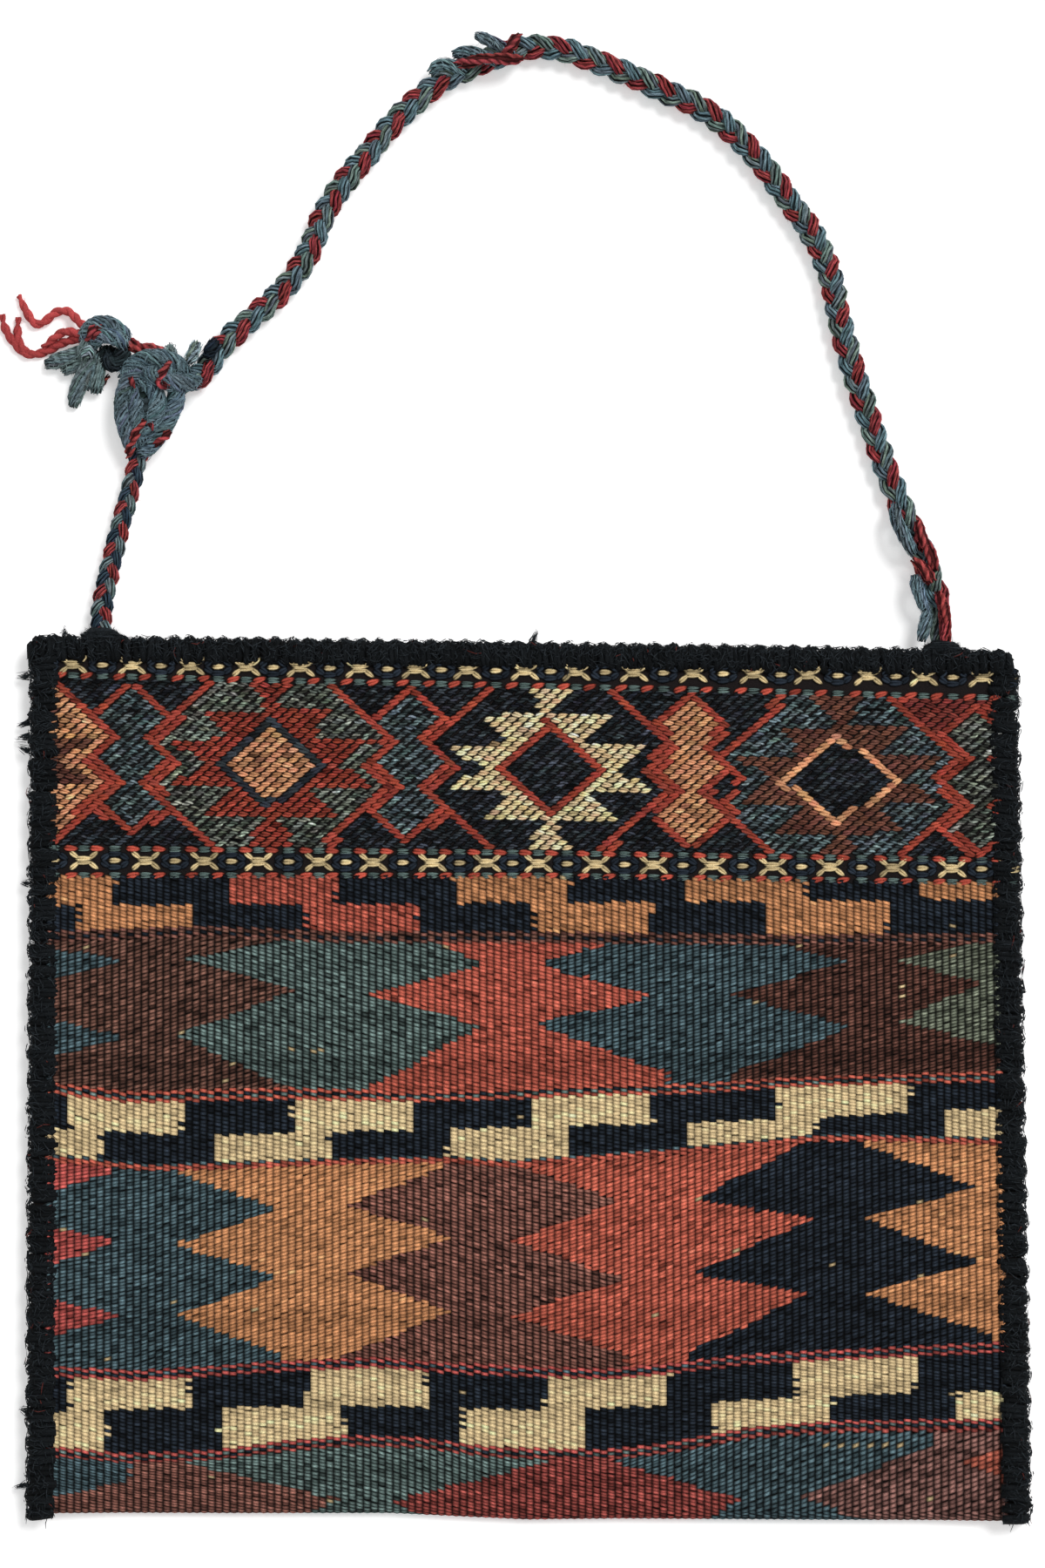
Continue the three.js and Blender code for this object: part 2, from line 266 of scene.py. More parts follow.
class Piece:
    """One visible piece. Elements of one form are added many at a time; each gets its own cell of the map."""

    cell_margin = 0.06

    def __init__(self, name, slot, *replaced):
        self.name = name
        self.slot = slot
        self.replaced = replaced
        self.points = []
        self.tints = []
        self.corners = []
        self.sides = []
        self.places = []
        self.size = 0

    def add(self, points, faces, tints, face_places, shades=1.0):
        """points and tints are (elements, points, 3), shades are painted shade that runs from 0 in a gap to 1
        on a crest; faces and their places belong to one element."""
        count, size = points.shape[:2]
        first = self.size + size * np.arange(count)
        columns = math.ceil(math.sqrt(count))
        cell = np.stack([np.arange(count) % columns, np.arange(count) // columns], axis=-1)
        inset = self.cell_margin + (1 - 2 * self.cell_margin) * face_places
        self.points.append(points.reshape(-1, 3))
        dyes = np.broadcast_to(tints, points.shape).reshape(-1, 3)
        # The alpha of Tint carries the painted shade
        self.tints.append(np.column_stack([dyes, np.broadcast_to(shades, points.shape[:2]).ravel()]))
        self.corners.append((first[:, None, None] + faces).ravel())
        self.sides.append(np.full(count * len(faces), faces.shape[1]))
        self.places.append(((cell[:, None, None] + inset) / columns).reshape(-1, 2))
        self.size += count * size

    def make(self, material):
        corners = np.concatenate(self.corners)
        sides = np.concatenate(self.sides)
        strips = np.cumsum([0] + [len(part) for part in self.places]) / len(corners)
        places = [
            np.stack([part[:, 0], low + part[:, 1] * (high - low)], axis=-1)
            for part, low, high in zip(self.places, strips, strips[1:])
        ]
        tints = np.clip(np.concatenate(self.tints), 0, 1)
        mesh = bpy.data.meshes.new(self.name)
        mesh.vertices.add(self.size)
        mesh.vertices.foreach_set("co", (np.concatenate(self.points) * mm).ravel())
        mesh.loops.add(len(corners))
        mesh.loops.foreach_set("vertex_index", corners.astype(np.int32))
        mesh.polygons.add(len(sides))
        mesh.polygons.foreach_set("loop_start", (np.cumsum(sides) - sides).astype(np.int32))
        mesh.polygons.foreach_set("use_smooth", np.ones(len(sides), bool))
        tint = mesh.attributes.new("Tint", "FLOAT_COLOR", "POINT")
        tint.data.foreach_set("color", tints.ravel())
        bake_map = mesh.uv_layers.new(name="OFBake")
        bake_map.data.foreach_set("uv", np.concatenate(places).ravel())
        mesh.update(calc_edges=True)
        mesh.materials.append(material)
        piece = add_object(self.name, mesh)
        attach(piece, "root")
        if self.replaced:
            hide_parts(*self.replaced)
        return piece


# Materials of wool and hair

wool_roughness = 0.92
wool_specular = 0.12
grain_detail = 2
grain_low = 0.3
grain_high = 0.7
gap_end = 0.1
crest_start = 0.95


def wool_material(name, grain_size, grain_contrast, bump_height, gap_shade):
    """Matt wool with the dye of its threads, painted shade in the gaps between them, and a grain of fibres.
    """
    material = bpy.data.materials.new(name)
    material.use_nodes = True
    nodes = material.node_tree.nodes
    link = material.node_tree.links.new

    def add_node(kind, **numbers):
        node = nodes.new("ShaderNode" + kind)
        set_inputs(node, **numbers)
        return node

    shader = nodes["Principled BSDF"]
    set_inputs(shader, Roughness=wool_roughness, Specular_IOR_Level=wool_specular)
    thread = add_node("Attribute")
    thread.attribute_name = "Tint"
    space = add_node("TexCoord")
    grain = add_node("TexNoise", Scale=1 / (grain_size * mm), Detail=grain_detail)
    link(space.outputs["Object"], grain.inputs["Vector"])
    shade = add_node(
        "MapRange", From_Min=grain_low, From_Max=grain_high,
        To_Min=1 - grain_contrast, To_Max=1 + grain_contrast)
    link(grain.outputs["Fac"], shade.inputs["Value"])
    # Painted shade: the alpha of Tint, near 0 in a gap between threads, darkens the dye down to gap_shade of
    # it
    depth = add_node("MapRange", From_Min=gap_end, From_Max=crest_start, To_Min=gap_shade)
    depth.interpolation_type = "SMOOTHSTEP"
    link(thread.outputs["Alpha"], depth.inputs["Value"])
    light = add_node("Math")
    light.operation = "MULTIPLY"
    link(shade.outputs["Result"], light.inputs[0])
    link(depth.outputs["Result"], light.inputs[1])
    tinted = add_node("VectorMath")
    tinted.operation = "MULTIPLY"
    link(thread.outputs["Color"], tinted.inputs[0])
    link(light.outputs["Value"], tinted.inputs[1])
    link(tinted.outputs["Vector"], shader.inputs["Base Color"])
    bump = add_node("Bump", Distance=bump_height * mm)
    link(grain.outputs["Fac"], bump.inputs["Height"])
    link(bump.outputs["Normal"], shader.inputs["Normal"])
    return material


wool = wool_material("wool", grain_size=0.4, grain_contrast=0.3, bump_height=0.2, gap_shade=0.05)
hair = wool_material("hair", grain_size=0.4, grain_contrast=0.4, bump_height=0.2, gap_shade=0.3)


# Lines, yarns and fibres

span_steps = 12
steep = 0.9
# Painted shade of tubes: on the sides that face a strand's core, and in the grooves between plies
core_shade = 0.4
groove_light = 0.64
groove_contrast = 0.36
floor_gap = 0.05
cap_margin = 0.1
cap_size = (0.9, 0.08)
far_cap = 0.91
yarn_sway = 0.2
sway_steps = 9
sway_paces = (0.7, 1.4)
fibre_rise = 0.2
fibre_floor_gap = 0.2
fibre_lengths = (0.4, 1.0)
fibre_length_power = 1.5
fibre_curl = 0.35
fibre_lights = (0.8, 1.5)
fibre_tip = 0.3


def smooth_line(route, spacing):
    """A curve through the points of a route, with points at an even spacing."""
    route = np.array(route, float)
    ends = np.vstack([2 * route[0] - route[1], route, 2 * route[-1] - route[-2]])
    share = np.linspace(0, 1, span_steps, endpoint=False)[:, None]
    spans = []
    for before, start, end, after in zip(ends, ends[1:], ends[2:], ends[3:]):
        bend = 2 * before - 5 * start + 4 * end - after
        twist = 3 * start - before - 3 * end + after
        spans.append(start + ((end - before) * share + bend * share**2 + twist * share**3) / 2)
    dense = np.vstack(spans + [route[-1:]])
    along = run_along(dense)
    places = np.linspace(0, along[-1], max(3, round(along[-1] / spacing) + 1))
    return np.stack([np.interp(places, along, dense[:, axis]) for axis in range(3)], axis=1)


def run_along(line):
    steps = np.linalg.norm(np.diff(line, axis=0), axis=1)
    return np.concatenate([[0], np.cumsum(steps)])


def frames(lines):
    """Tangents and two steady cross directions along lines of shape (lines, points, 3)."""
    tangents = unit(np.gradient(lines, axis=1))
    upright = np.abs(tangents[:, 0, 2:]) > steep
    normal = unit(np.cross(tangents[:, 0], np.where(upright, [1.0, 0, 0], [0, 0, 1.0])))
    normals = np.empty_like(lines)
    for step in range(lines.shape[1]):
        tangent = tangents[:, step]
        normal = unit(normal - tangent * np.sum(normal * tangent, axis=1, keepdims=True))
        normals[:, step] = normal
    return tangents, normals, np.cross(tangents, normals)


def bundle(line, yarns, spread, twist_length):
    """Lines of yarns that lie twisted round a line; spread is one distance or one for each point."""
    _, normals, binormals = frames(line[None])
    turn = 2 * np.pi * (np.arange(yarns)[:, None] / yarns + run_along(line) / twist_length)
    reach = np.broadcast_to(spread, len(line))[None, :, None]
    return line + reach * (np.cos(turn)[..., None] * normals + np.sin(turn)[..., None] * binormals)


def wander(lines):
    """The lines with a slow sway of their own, as hand-spun yarn has."""
    count, steps, _ = lines.shape
    phase = chance.uniform(0, 2 * np.pi, (count, 1, 3))
    pace = chance.uniform(*sway_paces, (count, 1, 3)) * 2 * np.pi / sway_steps
    return lines + yarn_sway * np.sin(phase + pace * np.arange(steps)[None, :, None])


def above_floor(points, gap):
    points[..., 2] = np.maximum(points[..., 2], gap)
    return points


def add_tubes(piece, lines, radii, tints, sides=6, ply_length=0.0, ply_depth=0.0, cores=None):
    """Round yarns along lines of shape (yarns, points, 3), closed at both ends, with a twist of two plies.

    Painted shade darkens the grooves between plies and the sides that face the core of a yarn's own strand.
    """
    count, steps, _ = lines.shape
    _, normals, binormals = frames(lines)
    angle = 2 * np.pi * np.arange(sides) / sides
    ring = np.broadcast_to(radii, (count, steps))[:, :, None] * np.ones(sides)
    around = np.cos(angle)[:, None] * normals[:, :, None] + np.sin(angle)[:, None] * binormals[:, :, None]
    ply = np.ones((count, steps, sides))
    shades = np.ones((count, steps, sides))
    if ply_depth:
        pitch = np.linalg.norm(np.diff(lines, axis=1), axis=2).mean()
        turn = 2 * np.pi * pitch * np.arange(steps) / ply_length
        ply = np.broadcast_to(np.cos(2 * angle[None, None] - turn[None, :, None]), ply.shape)
        # Painted shade in the grooves between plies
        shades = groove_light + groove_contrast * ply
    if cores is not None:
        # Painted shade on the sides that face the strand's core
        outward = np.sum(around * unit(lines - cores)[:, :, None], axis=-1)
        shades = shades * np.clip(core_shade + outward, 0, 1)
    reach = (ring * (1 + ply_depth * ply))[..., None]
    points = above_floor(lines[:, :, None] + reach * around, floor_gap)
    grid = np.arange(steps * sides).reshape(steps, sides)
    after = np.roll(grid, -1, axis=1)
    walls = np.stack([grid[:-1], after[:-1], after[1:], grid[1:]], axis=-1).reshape(-1, 4)
    fan = np.array([(0, k, k + 1, k + 2) for k in range(1, sides - 2, 2)])
    faces = np.vstack([walls, grid[0][fan[:, ::-1]], grid[-1][fan]])
    column = np.arange(sides) / sides
    row = cap_margin + (1 - 2 * cap_margin) * np.arange(steps) / (steps - 1)
    wall_places = np.empty((steps - 1, sides, 4, 2))
    wall_places[..., 0] = column[None, :, None] + np.array([0, 1, 1, 0]) / sides
    wall_places[..., 1] = np.stack([row[:-1], row[:-1], row[1:], row[1:]], axis=-1)[:, None]
    slot_width = 1 / len(fan)
    cap_places = np.array([(0, 0), (1, 0), (1, 1), (0, 1)]) * cap_size * [slot_width, 1]
    low_caps = cap_places + [[[k * slot_width, 0]] for k in range(len(fan))]
    places = np.vstack([wall_places.reshape(-1, 4, 2), low_caps, low_caps + [0, far_cap]])
    dyes = np.broadcast_to(tints.reshape(count, -1, 1, 3), (count, steps, sides, 3))
    per_yarn = (count, -1, 3)
    piece.add(points.reshape(per_yarn), faces, dyes.reshape(per_yarn), places, shades.reshape(count, -1))


def fibres(lines, tints, count, reach, bends):
    """Lines and dyes of fine fibres that stand off the yarns along the lines."""
    yarn = chance.integers(len(lines), size=count)
    step = chance.integers(1, lines.shape[1] - 1, size=count)
    root = lines[yarn, step]
    tangent = unit(lines[yarn, step + 1] - lines[yarn, step - 1])
    away = unit(chance.normal(size=(count, 3)) + [0, 0, fibre_rise])
    course = unit(away + chance.uniform(-1, 1, (count, 1)) * tangent)
    curl = unit(chance.normal(size=(count, 3)))
    length = reach * chance.uniform(*fibre_lengths, (count, 1, 1)) ** fibre_length_power
    share = np.linspace(0, 1, bends + 2)[None, :, None]
    strands = root[:, None] + length * (share * course[:, None] + fibre_curl * share**2 * curl[:, None])
    light = chance.uniform(*fibre_lights, (count, 1))
    return above_floor(strands, fibre_floor_gap), tints[yarn] * light


def add_fuzz(piece, lines, tints, count, reach, thickness, bends=1):
    strands, dyes = fibres(lines, tints, count, reach, bends)
    add_tubes(piece, strands, thickness / 2 * np.linspace(1, fibre_tip, bends + 2), dyes, sides=4)


# Camera


def set_camera():
    camera = bpy.data.cameras.new("camera")
    camera.sensor_width = sensor_size
    camera.lens = sensor_size * camera_distance / view_length
    holder = add_object("camera", camera)
    holder.location = Vector((*view_middle, camera_distance)) * mm
    bpy.context.scene.camera = holder


set_camera()


# Plaited strap of three strands

strand_sway = 2.3
strand_height = 1.5
strand_spread = 1.45
strand_yarns = 8
strap_yarn_radius = 0.52
strand_core_radius = 1.25
strand_twist = 40.0
strap_spacing = 1.25
strap_floor_gap = 0.6
strap_ply_length = 2.8
ply_depth = 0.16
yarn_lights = (0.7, 1.3)
yarn_hue_spread = 0.06
core_shadow_share = 0.15
strap_fuzz_light = 1.1
strap_fuzz_reach = 1.7
fuzz_thickness = 0.13
foot_reach = 2.6

# Where the red strand comes over the right edge, and how the plait is rolled and scaled, by run along it
long_red_places = [
    10.7, 33.4, 56, 74.2, 92.2, 111.7, 127.6, 142.7, 157.8, 175.2, 192.6, 210.5, 229.1, 247.7, 265.4, 281,
    300.5, 319, 335, 351.5, 368.6, 387, 405.7, 424, 441, 458,
]
long_rolls = [(0, 0.45), (250, 0.45), (300, -0.45), (460, -0.45)]
long_scales = [(0, 1.02), (460, 1.02)]
short_red_places = [-3.6, 10.7, 25, 39.3, 53.6, 67.9]
short_rolls = [(0, 0), (70, 0)]
short_scales = [(0, 0.88), (70, 0.76)]
long_dyes = [strap_red, strap_blue, strap_teal]
short_dyes = [strap_red, strap_teal, strap_navy]
long_fibres = 2100
short_fibres = 450


def raised(route, height):
    """A route in metres from the mouth's level, as millimetres in the row frame."""
    points = np.array([(*point, height * mm)[:3] for point in route]) / mm
    return points + [0, half_height, 0]


def plait(line, strand_dyes, turns, hand, rolls, scales):
    """Lines, cores and dyes of the yarns of a plait, whose strands sway and dip past each other."""
    up = np.array([0, 0, 1.0])
    side = unit(np.cross(up, unit(np.gradient(line, axis=0))))
    lines = []
    cores = []
    dyes = []
    for strand, strand_dye in enumerate(strand_dyes):
        turn = turns + 2 * np.pi * strand / len(strand_dyes)
        sway = scales * strand_sway * np.sin(turn)
        height = scales * strand_height * hand * np.sin(2 * turn)
        rolled_sway = sway * np.cos(rolls) + height * np.sin(rolls)
        rolled_height = height * np.cos(rolls) - sway * np.sin(rolls)
        middle = line + rolled_sway[:, None] * side + rolled_height[:, None] * up
        lines.append(bundle(middle, strand_yarns, scales * strand_spread, strand_twist))
        cores.append(np.broadcast_to(middle, (strand_yarns, *middle.shape)))
        lights = chance.uniform(*yarn_lights, (strand_yarns, 1))
        shades = lights + chance.normal(0, yarn_hue_spread, (strand_yarns, 3))
        dyes.append(strand_dye * shades)
    return wander(np.concatenate(lines)), np.concatenate(cores), np.concatenate(dyes)


# Painted shade: the dark of core tubes put inside strands and bundles, where only shade is seen between yarns
def darkened(tints):
    return core_shadow_share * tints


def make_strap(name, route, strand_dyes, hand, red_places, rolls, scales, fibre_count):
    """One plait along its route; hand is 1 where its Vs point back to its foot, and -1 where away from it."""
    points = raised(route, strap_diameter / 2)
    line = smooth_line(np.vstack([points[:1] - [0, foot_reach, 0], points]), strap_spacing)
    along = run_along(line) - foot_reach
    turns = 2 * np.pi * (np.interp(along, red_places, np.arange(len(red_places))) + 0.5 + hand / 8)
    roll = np.interp(along, *np.transpose(rolls))
    scale = np.interp(along, *np.transpose(scales))
    lines, cores, dyes = plait(line, strand_dyes, turns, hand, roll, scale)
    strap = Piece(name + "_plait", "blue_yarn", name)
    add_tubes(
        strap, above_floor(lines, strap_floor_gap), scale * strap_yarn_radius, dyes,
        ply_length=strap_ply_length, ply_depth=ply_depth, cores=cores)
    # Painted shade: a dark core tube along each strand fills the gaps between its yarns
    strand_lines = above_floor(cores[::strand_yarns, ::2].copy(), strand_core_radius)
    add_tubes(strap, strand_lines, strand_core_radius, darkened(np.array(strand_dyes)))
    fuzz = Piece(name + "_fuzz", "blue_yarn")
    add_fuzz(fuzz, lines, dyes * strap_fuzz_light, fibre_count, strap_fuzz_reach, fuzz_thickness, bends=0)
    return strap.make(wool), fuzz.make(wool), line


long_strap, long_fuzz, long_line = make_strap(
    "strap_long", long_strap_route, long_dyes, 1, long_red_places, long_rolls, long_scales,
    long_fibres)
short_strap, short_fuzz, short_line = make_strap(
    "strap_short", short_strap_route, short_dyes, -1, short_red_places, short_rolls, short_scales,
    short_fibres)


# Courses of the weave: wavy lines across the bag that the rows of wefts follow, from the fold up

front_row = 1.16
back_row = 2.5
bag_sides = (-half_width, half_width)
fold_course = [(x, wall_line(x, fold_start)) for x in bag_sides]
lowest_line = [
    (-158, -124), (-132, -126.5), (-103, -125.5), (-82, -122.5), (-60, -120.5), (-36, -121), (-13, -124),
    (25, -125), (45, -123), (74, -117.5), (100, -115.5), (157, -115),
]
lower_line = [
    (-156, -97.5), (-129, -99), (-82, -95.5), (-50, -94), (-24, -96), (27, -98), (48, -96), (74, -93),
    (114, -91.5), (157, -89.5),
]
middle_line = [
    (-156, -26), (-126, -29), (-104, -28.5), (-60, -26.5), (-26, -26), (-4, -27.5), (27, -25), (53, -23),
    (96, -19), (114, -19), (157, -20.5),
]
upper_line = [
    (-156, -3.5), (-132, -6.5), (-80, -5), (-36, -6), (-7, -5), (27, -3.5), (51, -3.5), (85, -1.5),
    (155, 0.5),
]
highest_line = [(-157, 46.5), (-108, 48.5), (-60, 46.5), (10, 46.5), (85, 45.5), (157, 46)]
weave_top = [(-157, 67), (5, 67), (71, 66), (157, 64.5)]
lower_border = [(-157, 72), (0, 71), (157, 69)]
field_bottom = [(-157, 76), (0, 74.5), (157, 72)]
field_top = [(-157, 133.4), (-88, 131.5), (0, 129.6), (85, 127.6), (157, 125.7)]
upper_border = [(-157, 136.8), (0, 134.4), (157, 132.3)]
mouth_course = [(x, wall_line(x, mouth_inner)) for x in bag_sides]
courses = [
    fold_course, lowest_line, lower_line, middle_line, upper_line, highest_line, weave_top,
    lower_border, field_bottom, field_top, upper_border, mouth_course,
]
levels = np.array([np.mean([y for _, y in course]) for course in courses])


def level_of(course):
    return levels[courses.index(course)]


def course_height(x, level):
    """Height on the bag of a row of wefts, which lies between the two nearest courses."""
    lines = np.stack([np.interp(x, *np.transpose(course)) for course in courses])
    below = np.clip(np.searchsorted(levels, level) - 1, 0, len(levels) - 2)
    share = (level - levels[below]) / (levels[below + 1] - levels[below])
    low = np.take_along_axis(lines, below[None], 0)[0]
    high = np.take_along_axis(lines, below[None] + 1, 0)[0]
    return np.where(level < levels[0], lines[0] + level - levels[0], low + share * (high - low))


# Pattern of the flat-woven bands

arrow_edges = [
    [(-158, 43), (-133.5, 39), (-158, 32), (-158, 19), (-133.5, 13.5), (-158, 6.5)],
    [(-79.5, 46), (-113.5, 39.5), (-76.5, 29), (-116, 14), (-76.5, -4.5)],
    [(-33, 46.5), (-15, 37.5), (-53.5, 27.5), (-15, 17.5), (-54.5, -4.5)],
    [(27, 45), (3.5, 37.5), (43.5, 27.5), (3, 18), (46.5, 1.5)],
    [(89.5, 42.5), (108, 38.5), (66.5, 28), (108.5, 17), (67, 1)],
    [(148.5, 45), (121.5, 38.5), (150.5, 31.5), (123, 18.5), (157, 10)],
]
arrow_dyes = [blue, brown, teal, brick, blue, dark_brown, grey_green]
arrow_leans = [1, 1, -1, -1, 1, 1, 1]
diamond_edges = [
    [
        (-158, -26), (-134.5, -31), (-158, -37.5), (-158, -49), (-134.5, -54), (-158, -62), (-158, -73.5),
        (-134.5, -79), (-158, -86),
    ],
    [(-116, -31.5), (-81.5, -43.5), (-116.5, -55), (-81.5, -65.5), (-115.5, -78.5), (-82, -91)],
    [(-24, -27.5), (-60, -42), (-24.5, -52.5), (-60.5, -64.5), (-25, -77), (-60, -91.5)],
    [(-4, -28), (31, -40.5), (-5, -53.5), (32, -66), (-5.5, -78.5), (33, -91.5)],
    [(91, -22), (54.5, -40.5), (94.5, -46.5), (55, -64), (92, -71.5), (53, -91)],
    [(109.5, -21), (149, -36), (113, -46.5), (149.5, -61), (111, -71.5), (152.5, -84.5)],
]
diamond_dyes = [faded_red, blue, gold, purple_brown, madder, navy, gold]
diamond_leans = [1, 1, 1, -1, 1, 1, 1]
fold_edges = [
    [(-130.5, -128.5), (-131, -133), (-160, -139.5)],
    [(-112, -128), (-63, -140), (-78.5, -148)],
    [(7, -126.5), (-45, -140.5), (-31, -148)],
    [(24, -125.5), (71, -139), (57.5, -148)],
    [(135, -117.5), (135, -122.5), (90, -138), (116, -148)],
    [(160, -122), (146, -127), (160, -133.5)],
]
fold_dyes = [blue, purple_brown, teal, deep_red, blue, violet, coral]
fold_leans = [-1, -1, -1, -1, 1, 1, 1]


def alternating(first, second):
    return [first, second] * 4 + [first]


# Stepped bands: the line between their halves, the steps' edges in both halves, and the dyes in both
key_steps = (
    [(-157, 57), (0, 58), (157, 59)],
    [-136, -98.5, -62, -23.5, 14, 52.5, 92, 131.5],
    [-149, -110, -73.5, -35, 2, 41.5, 79, 120],
    [gold, navy, brick, navy, gold, navy, gold, navy, gold],
    [navy, gold, navy, brick, navy, gold, navy, gold, navy],
)
upper_white_steps = (
    [(-157, -17), (-111, -19), (0, -16), (85, -13.5), (157, -10)],
    [-151.5, -114, -76.5, -38, 1.5, 41, 82.5, 127],
    [-141.5, -103, -65.5, -26, 14, 52.5, 95.5, 139],
    alternating(navy, cream),
    alternating(cream, navy),
)
lower_white_steps = (
    [(-157, -110.5), (-60, -108.5), (13, -110), (85, -106), (157, -103.5)],
    [-151, -112, -72.5, -33, 6.5, 47.5, 89, 129],
    [-140, -101, -60, -21.5, 19.5, 61.5, 100.5, 143],
    alternating(navy, cream),
    alternating(cream, navy),
)
ragged_rows = 0.6
ragged_row_turn = 2.4
ragged_wave = 0.8
wave_rise = 3
wave_run = 11
zigzag_slant = 0.5
level_slant = -0.3
key_slant = -0.55
separator_reach = 1.5

# Separators between the bands: their course, and the dyes of the line above, of even and odd ribs, and below
separators = [
    (highest_line, purple_brown, brown, navy, purple_brown),
    (upper_line, brick, teal, navy, brick),
    (middle_line, None, brick, blue, brick),
    (lower_line, faded_red, blue, navy, faded_red),
    (lowest_line, faded_red, teal, navy, deep_red),
]

# Worn spots: from left to right, height, share of the beads there, and lightness
worn_rows = [
    ((-82.5, -63.7), 9.3, 0.5, 0.6), ((85.7, 135), -121.8, 0.4, 0.6), ((100.2, 109), -60.9, 0.5, 0.6),
    ((123, 125.5), 30.2, 1, 1.1), ((123.5, 126), 26.7, 1, 1.1),
]


def zigzag_band(x, y, edges, dyes):
    place = np.zeros(x.shape, int)
    for edge in edges:
        across, heights = np.transpose(edge[::-1])
        place += x > np.interp(y, heights, across)
    return np.array(dyes)[place]


def stepped_band(x, y, middle, upper_edges, lower_edges, upper_dyes, lower_dyes):
    upper = np.array(upper_dyes)[np.searchsorted(upper_edges, x)]
    lower = np.array(lower_dyes)[np.searchsorted(lower_edges, x)]
    return np.where((y > np.interp(x, *np.transpose(middle)))[..., None], upper, lower)


def ragged_place(x, y):
    """Where a bead counts as lying across the bag, so that the shapes' edges run unevenly from row to row."""
    return x + ragged_rows * np.sin(ragged_row_turn * y) + ragged_wave * np.sin(y / wave_rise + x / wave_run)


def front_dyes(x, y, level, rib):
    """Dye of each bead of the flat-woven front."""
    place = ragged_place(x, y)
    bands = [
        (highest_line, stepped_band(place, y, *key_steps)),
        (upper_line, zigzag_band(place, y, arrow_edges, arrow_dyes)),
        (middle_line, stepped_band(place, y, *upper_white_steps)),
        (lower_line, zigzag_band(place, y, diamond_edges, diamond_dyes)),
        (lowest_line, stepped_band(place, y, *lower_white_steps)),
    ]
    shown = zigzag_band(place, y, fold_edges, fold_dyes)
    for course, dyes in bands[::-1]:
        shown = np.where((level > level_of(course))[:, None], dyes, shown)
    odd_rib = (rib % 2 == 1)[:, None]
    for course, upper_dye, even_dye, odd_dye, lower_dye in separators:
        row = np.floor((level - level_of(course)) / front_row + 0.5)[:, None]
        shown = np.where(row == 0, np.where(odd_rib, odd_dye, even_dye), shown)
        if upper_dye is not None:
            shown = np.where(row == 1, upper_dye, shown)
        shown = np.where(row == -1, lower_dye, shown)
    return shown


def weft_slants(x, y, level):
    """How far each bead leans, in rows: either way by the shape in zigzag bands, and one way elsewhere."""
    slants = np.where(level > level_of(highest_line), key_slant, level_slant)
    for low, high, edges, leans in (
            (upper_line, highest_line, arrow_edges, arrow_leans),
            (lower_line, middle_line, diamond_edges, diamond_leans),
            (fold_course, lowest_line, fold_edges, fold_leans)):
        within = (level > level_of(low)) & (level < level_of(high))
        slants = np.where(within, zigzag_slant * zigzag_band(x, y, edges, leans), slants)
    for course, *_ in separators:
        slants = np.where(np.abs(level - level_of(course)) < separator_reach * front_row, level_slant, slants)
    return slants


fold_strip = 6
stripe_half = 2.5
back_stripes = [(60, navy), (66, gold), (72, navy), (190, navy), (196, gold), (202, navy)]


def back_dyes(x, y, level, rib):
    """Dye of each bead of the plain back, with a few narrow stripes."""
    up_back = level_of(fold_course) - np.pi * fold_radius - level
    shown = np.where((up_back < fold_strip)[:, None], purple_brown, deep_red)
    for stripe, stripe_dye in back_stripes:
        shown = np.where((np.abs(up_back - stripe) < stripe_half)[:, None], stripe_dye, shown)
    return shown


# Beads of the flat weave: each weft shows as a small cushion where it crosses a rib of the warp

rib_pitch = 2.46
rib_count = 130
front_bead_height = 0.8
back_bead_height = 0.45
speck_share = 0.0006
edge_speck_share = 0.012
bead_across = np.array([-0.5, -0.5, -0.5, 0, 0.5, 0.5, 0.5, 0, 0])
bead_along = np.array([-0.57, 0, 0.57, 0.57, 0.57, 0, -0.57, -0.57, 0])
bead_rise = np.array([0, 0.1, 0, 0.55, 0, 0.1, 0, 0.55, 1])
# Painted shade of a bead, dark at its rim and 1 on its crest: a deeper profile for dark dyes, a lighter one
# for pale dyes
dark_bead_shade = np.array([0, 0.2, 0, 0.08, 0, 0.2, 0, 0.08, 1])
light_bead_shade = np.array([0.24, 0.46, 0.24, 0.42, 0.24, 0.46, 0.24, 0.42, 1])
fold_end = level_of(fold_course) - np.pi * fold_radius
fold_flatness = 0.65
streak_rows = 5
most_rows = 300
row_light_spread = 0.06
streak_light_spread = 0.15
row_noise = chance.normal(size=most_rows)
streaks = np.convolve(row_noise, np.full(streak_rows, 1 / streak_rows), "same")
row_lights = 1 + row_light_spread * row_noise + streak_light_spread * streaks
crown = 8
whole_bead = np.arange(crown + 1)
plain_bead = np.array([0, 2, 4, 6, crown])
slant_spread = 0.12
bead_spread = 0.09
darkest_dye = 0.1
lightest_dye = 1.0
bead_light_spread = 0.36
pale_calm = 0.2
bead_lights = (0.3, 2)
speck_light = 0.6


